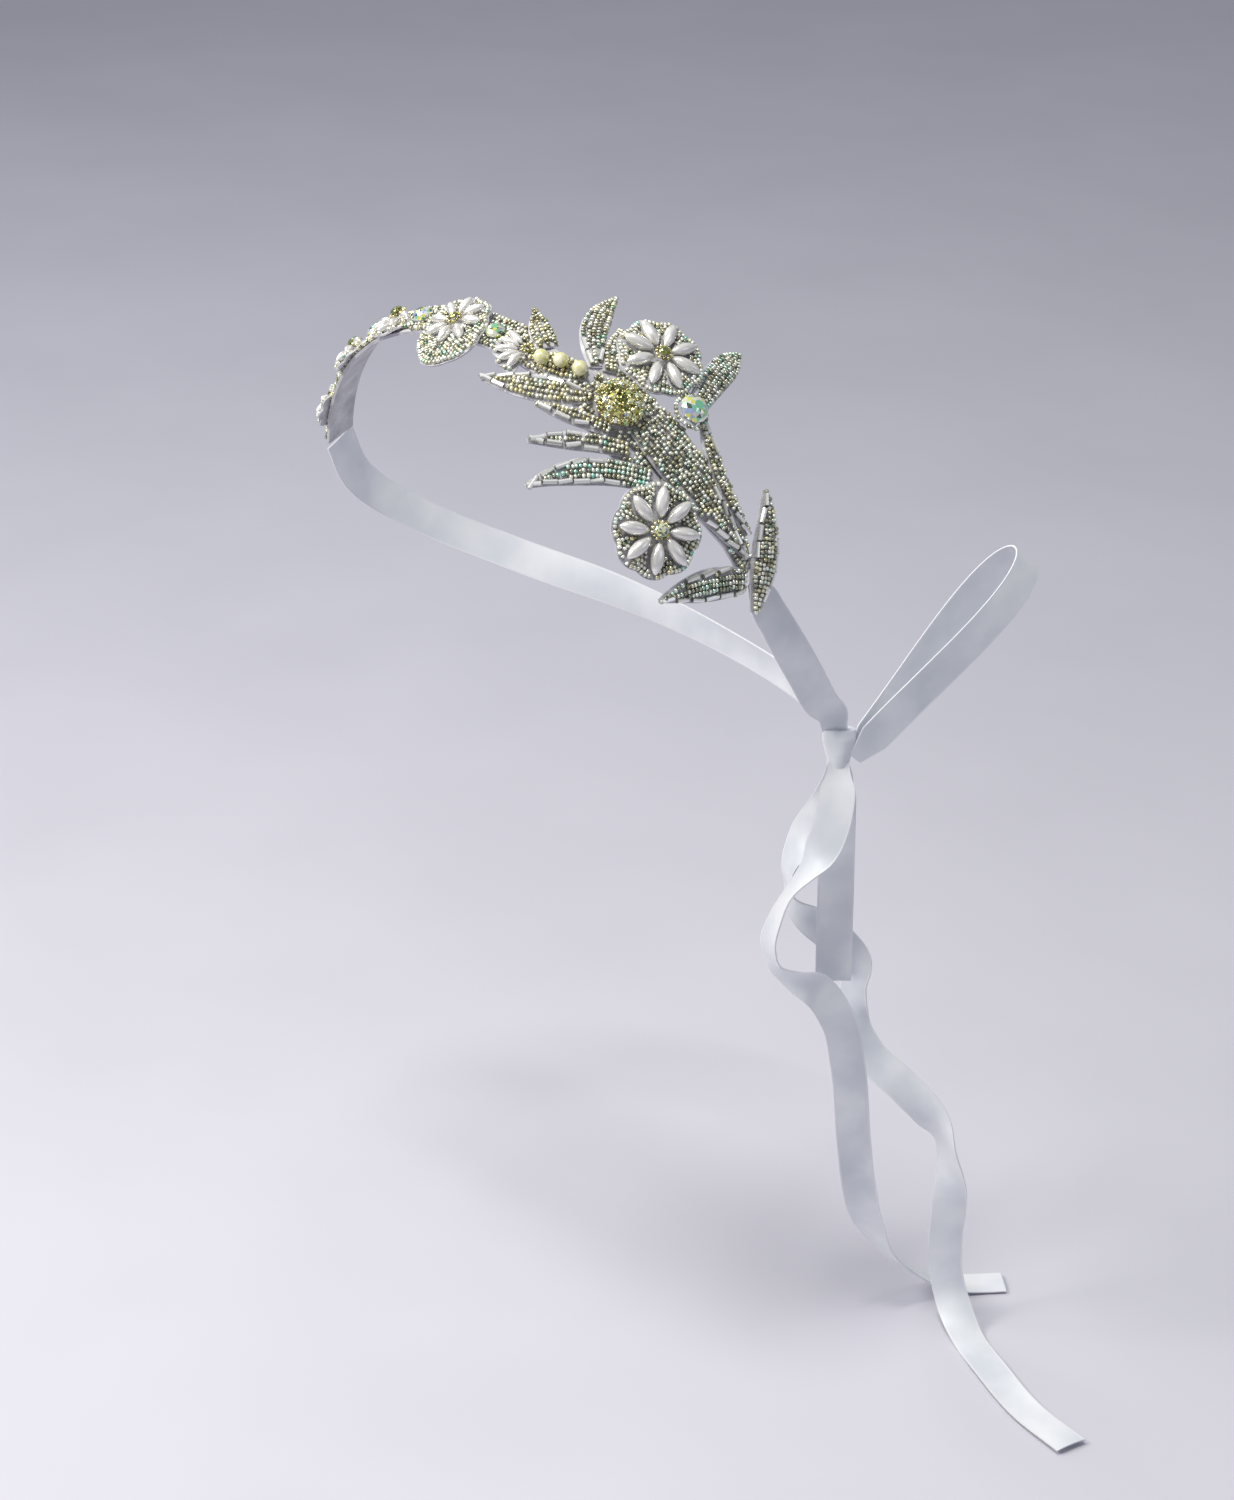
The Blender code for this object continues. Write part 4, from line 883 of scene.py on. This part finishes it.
for name, along, across in POD_PEARLS:
    seated = seat_frame(along, across, POD_PEARL_SEAT + POD_PEARL_RADIUS)
    place = seated[0][None, :]
    pearl = set_beads(name + "_glass", [(place, seated[1][None, :], seated[3][None, :])], pearl_tree,
                      (2.0 * POD_PEARL_RADIUS, 2.0 * POD_PEARL_RADIUS, 0.0), ivory_coat, "ivory_pearl",
                      vary=0.0)
    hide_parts(name)


# The round crystals: foil-backed stones with an aurora coat, each with a ring of seed beads sewn round it.
# The plain metal cup with four claws that holds each stone is not drawn.
CRYSTALS = (
    # name, along, across, radius, height, seat, tone
    ("crystal_d", 6.4, -1.5, 3.2, 3.8, LEAF_SEAT, 0.18),
    ("crystal_f", -28.4, -1.0, 3.6, 4.2, LEAF_SEAT, 0.0),
    ("crystal_i", -58.8, 0.0, 3.4, 3.6, LEAF_SEAT, 0.0),
    ("crystal_n", -89.6, 0.0, 3.4, 3.6, LEAF_SEAT, 0.0),
    ("crystal_k", 69.0, 17.6, 4.8, 5.6, 3.6, 0.08),
)
CRYSTAL_RING_MARGIN = 0.75
CRYSTAL_RING_LEVEL = 0.8
CRYSTAL_RING_WARMTH = 0.55
CRYSTAL_RING_STEP = 6.0  # degrees
FIRST_CRYSTAL_SEED = 20
for number, (name, along, across, radius, height, start, tone) in enumerate(CRYSTALS):
    seated = seat_frame(along, across, start)
    stone = cut_stones(
        name + "_stone", [(seated, radius, height, 0.0, tone)], FIRST_CRYSTAL_SEED + number)
    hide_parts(name)
    ring = np.radians(np.arange(0.0, 361.0, CRYSTAL_RING_STEP))
    border = circle(seated, radius + CRYSTAL_RING_MARGIN, ring, CRYSTAL_RING_LEVEL)
    set_beads(name + "_ring", [threaded(border, np.broadcast_to(seated[3], border.shape), SEED_PITCH)],
              *SEEDS, CRYSTAL_RING_WARMTH)


# The cluster: a gilt dome over the roots of the leaves, set close with small olive, yellow and clear
# stones, each held by four gilt claws.
CLUSTER_PLACE = (52.3, 0.3)
CLUSTER_SEAT = 3.7
CLUSTER_RADIUS = 7.4
CLUSTER_FOOT = 6.8
CLUSTER_RIM = 1.4
CLUSTER_RISE = 3.2
CLUSTER_RINGS = (
    # stones in the ring, distance from the middle, tilt in degrees, stone radius
    (1, 0.0, 0.0, 1.5),
    (6, 2.8, 22.0, 1.25),
    (11, 5.1, 44.0, 1.2),
    (14, 6.9, 66.0, 1.1),
)
CLUSTER_TONES = (0.0, 0.0, 0.1, 0.3, 0.5, 0.95)
CLUSTER_STONE_HEIGHT = 2.0
CLUSTER_STONE_START = -1.0
CLUSTER_WALL = 0.9
DOME_SPOKES = 48
DOME_RISE = np.array((0.0, 0.02, 0.2, 0.45, 0.7, 0.88, 0.97, 0.999))
CLAW_LEVEL = 0.5
CLAW_SIZES = (0.9, 0.9, 0.1)
TONE_SEED = 7
FACET_SEED = 41
cluster_tones = np.random.default_rng(TONE_SEED).choice(CLUSTER_TONES, sum(row[0] for row in CLUSTER_RINGS))

# Gilt brass: cast and gold plated, bright on the edges.
gilt, gilt_nodes, gilt_shader = finish("gilt brass", "#C9BE8A", Metallic=1.0, Roughness=0.22)
gilt_noise = add(gilt_nodes, "ShaderNodeTexNoise", {
    "Vector": add(gilt_nodes, "ShaderNodeTexCoord").outputs["Object"], "Scale": 900.0})
gilt_bump = add(gilt_nodes, "ShaderNodeBump", {
    "Height": gilt_noise.outputs["Fac"], "Strength": 0.4, "Distance": 0.1 * MM})
gilt_nodes.links.new(gilt_bump.outputs["Normal"], gilt_shader.inputs["Normal"])

seated = seat_frame(*CLUSTER_PLACE, CLUSTER_SEAT)
around = np.linspace(0.0, 2.0 * math.pi, DOME_SPOKES, endpoint=False)
dome_radius = np.concatenate(([CLUSTER_FOOT], CLUSTER_RADIUS * np.sqrt(1.0 - DOME_RISE ** 2)))[:, None]
dome_level = np.concatenate(([0.0], CLUSTER_RIM + CLUSTER_RISE * DOME_RISE))[:, None]
over, under = (circle(seated, share * dome_radius, around, share * dome_level)
               for share in (1.0, CLUSTER_WALL))
dome = slab("cluster_dome", over, under, gilt, closed=True)
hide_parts("cluster")
cluster_stones, claws = [], []
for ring, (count, distance, tilt, radius) in enumerate(CLUSTER_RINGS):
    level = CLUSTER_RIM + CLUSTER_RISE * math.sqrt(1.0 - (distance / CLUSTER_RADIUS) ** 2)
    for k in range(count):
        angle = 2.0 * math.pi * (k + ring / 2.0) / count
        middle = circle(seated, distance, angle, level)
        ray = seated[1] * math.cos(angle) + seated[2] * math.sin(angle)
        out = seated[3] * math.cos(math.radians(tilt)) + ray * math.sin(math.radians(tilt))
        side = unit(np.cross(out, ray))
        stone_seat = (middle, np.cross(side, out), side, out)
        cluster_stones.append((stone_seat, radius, CLUSTER_STONE_HEIGHT, CLUSTER_STONE_START,
                               cluster_tones[len(cluster_stones)]))
        corners = 2.0 * math.pi * (np.arange(4) + 0.5) / 4.0
        claws.append((circle(stone_seat, radius, corners, CLAW_LEVEL),
                      np.tile(side, (4, 1)), np.tile(out, (4, 1))))
cut_stones("cluster_stones", cluster_stones, FACET_SEED)
set_beads("cluster_claws", claws, seed_tree, CLAW_SIZES, gold_glass, "gilt")


# The satin ribbon: one white ribbon 12 mm wide at each end of the band, brought down behind the left ear,
# tied in a bow and left to hang in two long tails. It is woven, with a fine firm selvedge on both sides.
RIBBON_THICK = 0.5
RIBBON_WIDTH = 12.0
RIBBON_STEP = 1.6
RIBBON_COLUMNS = 9
CUP_WAVE = 17.0
SELVEDGE = 0.5
STRAP_LEFT = (
    # x, y, z, across x, across y, across z, width
    (79.3, 5.0, -75.6, -0.11, 0.88, 0.45, 6.0),
    (79.6, 7.0, -79.2, -0.10, 0.88, 0.46, 9.5),
    (79.9, 9.4, -84.0, -0.06, 0.88, 0.47, 12.0),
    (79.6, 14.6, -91.6, 0.06, 0.86, 0.50, 12.0),
    (78.0, 22.4, -102.0, 0.26, 0.80, 0.54, 12.0),
    (75.6, 34.5, -118.4, 0.42, 0.76, 0.49, 12.0),
    (73.4, 45.0, -132.5, 0.46, 0.76, 0.45, 11.4),
    (73.0, 51.2, -139.2, 0.60, 0.74, 0.24, 10.0),
    (73.0, 52.0, -143.2, 0.69, 0.72, 0.0, 8.6),
    (73.1, 53.2, -146.4, 0.69, 0.72, 0.0, 8.0),
)
STRAP_RIGHT = (
    (-92.9, -17.4, -68.2, 0.0, 0.95, 0.30, 12.0),
    (-96.6, -8.0, -84.0, 0.06, 0.90, 0.43, 12.0),
    (-94.0, 18.0, -106.0, -0.16, 0.64, 0.75, 12.0),
    (-79.0, 49.0, -125.0, -0.33, 0.26, 0.91, 12.0),
    (-52.0, 73.0, -138.0, -0.26, -0.08, 0.96, 12.0),
    (-18.0, 85.0, -147.0, -0.14, -0.20, 0.97, 12.0),
    (20.0, 84.0, -152.0, 0.02, -0.20, 0.98, 12.0),
    (48.0, 73.5, -152.5, 0.12, -0.14, 0.98, 11.0),
    (69.9, 57.8, -150.8, 0.10, -0.10, 0.99, 8.0),
    (71.4, 56.2, -150.8, 0.10, -0.10, 0.99, 7.4),
)
TAIL_A = (
    (75.2, 52.1, -155.4, 0.69, 0.72, 0.0, 7.0),
    (76.1, 51.2, -158.2, 0.69, 0.72, 0.0, 7.6),
    (77.8, 49.0, -163.0, 0.69, 0.72, 0.02, 11.4),
    (79.4, 46.4, -169.6, 0.69, 0.72, 0.05, 12.0),
    (79.4, 41.6, -180.3, 0.82, 0.55, 0.14, 12.0),
    (76.0, 37.1, -189.6, 0.92, -0.20, 0.33, 12.0),
    (72.4, 33.4, -197.2, 0.80, -0.53, 0.28, 12.0),
    (69.7, 29.2, -207.8, 0.86, -0.44, 0.25, 12.0),
    (68.7, 27.2, -217.2, 0.88, -0.36, 0.30, 12.0),
    (70.4, 28.9, -224.6, 0.70, -0.44, 0.56, 12.0),
    (73.7, 33.8, -229.8, 0.58, -0.22, 0.78, 12.0),
    (78.3, 41.0, -235.6, 0.30, 0.58, 0.76, 12.0),
    (82.0, 48.0, -248.4, 0.55, 0.76, 0.34, 12.0),
    (81.6, 54.3, -268.7, 0.64, 0.76, 0.13, 12.0),
    (79.4, 61.1, -302.3, 0.67, 0.74, 0.05, 12.0),
    (77.7, 66.3, -322.9, 0.72, 0.68, 0.14, 12.0),
    (76.1, 73.1, -341.7, 0.88, 0.22, 0.42, 12.0),
    (76.3, 81.9, -358.0, 0.80, -0.36, 0.47, 12.0),
    (78.0, 93.0, -370.6, 0.82, -0.40, 0.30, 12.0),
    (81.2, 103.6, -378.6, 0.84, -0.48, 0.12, 12.0),
    (85.6, 112.4, -382.4, 0.80, -0.58, 0.03, 12.0),
    (90.6, 119.8, -383.4, 0.76, -0.64, 0.0, 12.0),
    (96.4, 127.0, -383.4, 0.73, -0.68, 0.0, 12.0),
)
TAIL_B = (
    (71.3, 56.0, -155.4, 0.69, 0.72, 0.0, 6.6),
    (70.4, 57.0, -158.2, 0.69, 0.72, 0.0, 7.0),
    (68.6, 59.2, -166.6, 0.71, 0.70, -0.08, 10.5),
    (64.8, 59.0, -176.5, 0.78, 0.60, -0.18, 12.0),
    (61.0, 55.0, -185.1, 0.86, 0.46, -0.20, 12.0),
    (59.1, 50.0, -192.7, 0.97, -0.10, 0.05, 12.0),
    (58.6, 46.4, -199.3, 0.86, -0.42, 0.26, 12.0),
    (59.8, 46.2, -206.7, 0.64, -0.56, 0.50, 12.0),
    (62.5, 50.2, -214.6, 0.48, -0.18, 0.84, 12.0),
    (66.0, 58.1, -223.7, 0.02, 0.30, 0.95, 12.0),
    (69.4, 64.5, -231.5, -0.06, 0.42, 0.90, 12.0),
    (71.5, 67.9, -238.5, 0.42, 0.10, 0.90, 12.0),
    (71.2, 67.4, -248.4, 0.64, 0.10, 0.76, 12.0),
    (72.6, 65.8, -259.2, 0.26, 0.52, 0.80, 12.0),
    (79.6, 67.2, -270.4, -0.17, 0.36, 0.91, 12.0),
    (89.6, 72.6, -279.9, -0.08, 0.42, 0.90, 12.0),
    (97.6, 79.4, -291.6, 0.28, 0.12, 0.95, 12.0),
    (101.2, 84.9, -305.0, 0.70, -0.34, 0.62, 12.0),
    (101.6, 87.8, -317.8, 0.90, 0.02, 0.42, 12.0),
    (100.3, 89.5, -332.0, 0.76, 0.63, 0.10, 12.0),
    (98.3, 90.6, -347.9, 0.70, 0.71, 0.04, 12.0),
    (97.6, 92.4, -362.5, 0.76, 0.64, 0.10, 12.0),
    (99.8, 94.0, -374.0, 0.72, 0.66, 0.18, 12.0),
    (107.6, 91.8, -382.2, 0.40, 0.91, 0.04, 12.0),
    (129.3, 81.5, -383.4, 0.42, 0.91, 0.0, 12.0),
    (153.9, 71.6, -383.4, 0.34, 0.94, 0.0, 12.0),
    (177.7, 66.6, -382.6, 0.18, 0.98, 0.0, 12.0),
)
LOOPS = (
    # name, start, axis, front, length, belly, start gap
    ("bow_loop_up", (77.5, 57.0, -154.6), (0.22, 0.69, 0.69), (0.928, -0.368, 0.072), 87.0, 20.0, 1.0),
    ("bow_loop_down", (74.4, 53.2, -158.2), (0.03, -0.03, -1.0), (0.719, -0.695, 0.0), 78.0, 3.6, 0.9),
)
LOOP_STATIONS = 120
LOOP_PINCH = 0.42
LOOP_OPENS_OVER = 16.0
LOOP_ROUNDNESS = 1.5

# White polyester satin: long floats of thread along the ribbon give a soft bright sheen that turns to
# lilac and blue-grey in the shade; the selvedge is plain woven, flatter and whiter.
satin, satin_nodes, satin_shader = finish(
    "white satin", "#ECEDF3", Roughness=0.42, Sheen_Weight=0.35, Sheen_Roughness=0.4, Anisotropic=0.4,
    Specular_IOR_Level=0.45)
satin_marks = add(satin_nodes, "ShaderNodeUVMap", uv_map="marks").outputs[0]
satin_split = add(satin_nodes, "ShaderNodeSeparateXYZ", {"Vector": satin_marks})
satin_place = add(satin_nodes, "ShaderNodeTexCoord").outputs["Object"]
satin_cloud = add(satin_nodes, "ShaderNodeTexNoise", {"Vector": satin_place, "Scale": 38.0, "Detail": 3.0})
satin_body = add(satin_nodes, "ShaderNodeValToRGB", {"Fac": satin_cloud.outputs["Fac"]}, stops=(
    (0.32, "#D3D8E0"), (0.5, "#E2E5EB"), (0.68, "#EFF0F3")))
satin_side = add(satin_nodes, "ShaderNodeMath", {0: satin_split.outputs["Y"], 1: 0.5}, operation="SUBTRACT")
satin_from_middle = add(satin_nodes, "ShaderNodeMath", {0: satin_side.outputs[0]}, operation="ABSOLUTE")
satin_edge = add(satin_nodes, "ShaderNodeMapRange", {
    "Value": satin_from_middle.outputs[0], "From Min": 0.5 - SELVEDGE / RIBBON_WIDTH - 0.01,
    "From Max": 0.5 - SELVEDGE / RIBBON_WIDTH})
satin_colour = add(satin_nodes, "ShaderNodeMix", {
    0: satin_edge.outputs[0], 6: satin_body.outputs["Color"], 7: linear("#E6E7EC")}, data_type="RGBA")
satin_nodes.links.new(satin_colour.outputs[2], satin_shader.inputs["Base Color"])
satin_thread = add(satin_nodes, "ShaderNodeTexWave", {
    "Vector": satin_marks, "Scale": 0.9, "Distortion": 1.2, "Detail": 2.0}, bands_direction="X")
satin_bump = add(satin_nodes, "ShaderNodeBump", {
    "Height": satin_thread.outputs["Fac"], "Strength": 0.12, "Distance": 0.05 * MM})
satin_nodes.links.new(satin_bump.outputs["Normal"], satin_shader.inputs["Normal"])


def smooth_rows(rows, step):
    """Reads a smooth curve through the rows, a station about every step, by cubic spans."""
    rows = np.asarray(rows, float)
    places = run(rows[:, :3])
    lengths = np.diff(places)
    slopes = np.gradient(rows, places, axis=0)
    result = []
    for i, span in enumerate(lengths):
        parts = max(1, round(span / step))
        for part in range(parts + (i == len(lengths) - 1)):
            u = part / parts
            result.append(
                rows[i] * (2 * u ** 3 - 3 * u ** 2 + 1) + slopes[i] * span * (u ** 3 - 2 * u ** 2 + u)
                + rows[i + 1] * (3 * u ** 2 - 2 * u ** 3) + slopes[i + 1] * span * (u ** 3 - u ** 2))
    return np.array(result)


def ribbon(name, middles, across, widths, cup=0.25):
    """A length of ribbon along its middle line, slightly cupped."""
    tangents = unit(np.gradient(middles, axis=0))
    sides = unit(across - tangents * np.sum(across * tangents, axis=1, keepdims=True))
    faces = np.cross(tangents, sides)
    shares = np.linspace(-0.5, 0.5, RIBBON_COLUMNS)
    lengths = run(middles)
    lift = cup * np.sin(lengths / CUP_WAVE)[:, None] * (1.0 - 8.0 * shares ** 2)
    sheet = (middles[:, None, :] + sides[:, None, :] * (widths[:, None] * shares)[:, :, None]
             + faces[:, None, :] * lift[:, :, None])
    thick = faces[:, None, :] * RIBBON_THICK / 2.0
    marks = np.stack(np.broadcast_arrays(lengths[:, None], shares[None, :] + 0.5), axis=-1)
    piece = slab(name + "_ribbon", sheet + thick, sheet - thick, satin, marks=marks)
    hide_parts(name)


for name, rows in (("strap_left", STRAP_LEFT), ("strap_right", STRAP_RIGHT),
                   ("tail_a", TAIL_A), ("tail_b", TAIL_B)):
    stations = smooth_rows(rows, RIBBON_STEP)
    ribbon(name, stations[:, :3], stations[:, 3:6], stations[:, 6])

for name, start, axis, front, length, belly, start_gap in LOOPS:
    start, axis = np.array(start), unit(np.array(axis))
    front = unit(np.array(front) - axis * (np.array(front) @ axis))
    turns = np.linspace(0.0, math.pi, LOOP_STATIONS + 1)
    reach = length * np.sin(turns)
    spread = -np.cos(turns) * (start_gap + belly * np.sin(turns) ** LOOP_ROUNDNESS)
    middles = start + axis * reach[:, None] + front * spread[:, None]
    widths = RIBBON_WIDTH * np.minimum(1.0, LOOP_PINCH + reach / LOOP_OPENS_OVER)
    across = np.broadcast_to(np.cross(axis, front), middles.shape)
    ribbon(name, middles, across, widths, cup=0.0)


# The knot: the ribbon's own middle, wrapped once round the crossing of the straps and tails and pulled
# tight, so that the satin gathers in lengthwise pleats.
KNOT_X = 73.2
KNOT_Y = 54.0
KNOT_SPOKES = 48
KNOT_LEVELS = 24
KNOT_FLATNESS = 0.8
KNOT_PLEATS = 5
PLEAT_DEPTH = 0.044  # share of the knot's width
PLEAT_START = 0.6
KNOT_CORE = 0.35
KNOT_MARKS_ROUND = 6.0
KNOT_FROM_EDGE = 0.25  # the selvedges are tucked in, so the marks stay this share off them
KNOT_SECTIONS = (
    # height, half width, half thickness
    (-144.6, 5.4, 2.4),
    (-147.5, 5.6, 3.6),
    (-152.0, 4.6, 4.4),
    (-155.0, 3.8, 4.3),
    (-157.6, 3.6, 3.8),
)
BOW_ACROSS = np.array((0.695, 0.719, 0.0))
BOW_OUT = np.array((0.719, -0.695, 0.0))
knot_rows = np.array(KNOT_SECTIONS)[::-1]
knot_levels = np.linspace(knot_rows[0, 0], knot_rows[-1, 0], KNOT_LEVELS)
half_width, half_thick = (np.interp(knot_levels, knot_rows[:, 0], knot_rows[:, k])[:, None] for k in (1, 2))
spokes = np.linspace(0.0, 2.0 * math.pi, KNOT_SPOKES, endpoint=False)
pleat = 1.0 + PLEAT_DEPTH * np.sin(KNOT_PLEATS * spokes + PLEAT_START)
knot_x = half_width * np.sign(np.cos(spokes)) * np.abs(np.cos(spokes)) ** KNOT_FLATNESS * pleat
knot_y = half_thick * np.sign(np.sin(spokes)) * np.abs(np.sin(spokes)) ** KNOT_FLATNESS * pleat
knot_axis = np.array((KNOT_X, KNOT_Y, 0.0)) + knot_levels[:, None, None] * np.array((0.0, 0.0, 1.0))
knot_over = knot_axis + knot_x[:, :, None] * BOW_ACROSS + knot_y[:, :, None] * BOW_OUT
knot_under = knot_axis + KNOT_CORE * (knot_over - knot_axis)
knot_share = np.linspace(0.0, 1.0, KNOT_LEVELS)[:, None]
knot_marks = np.stack(np.broadcast_arrays(
    KNOT_MARKS_ROUND * spokes, KNOT_FROM_EDGE + (1.0 - 2.0 * KNOT_FROM_EDGE) * knot_share), axis=-1)
knot = slab("knot_wrap", knot_over, knot_under, satin, closed=True, marks=knot_marks)
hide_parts("knot")
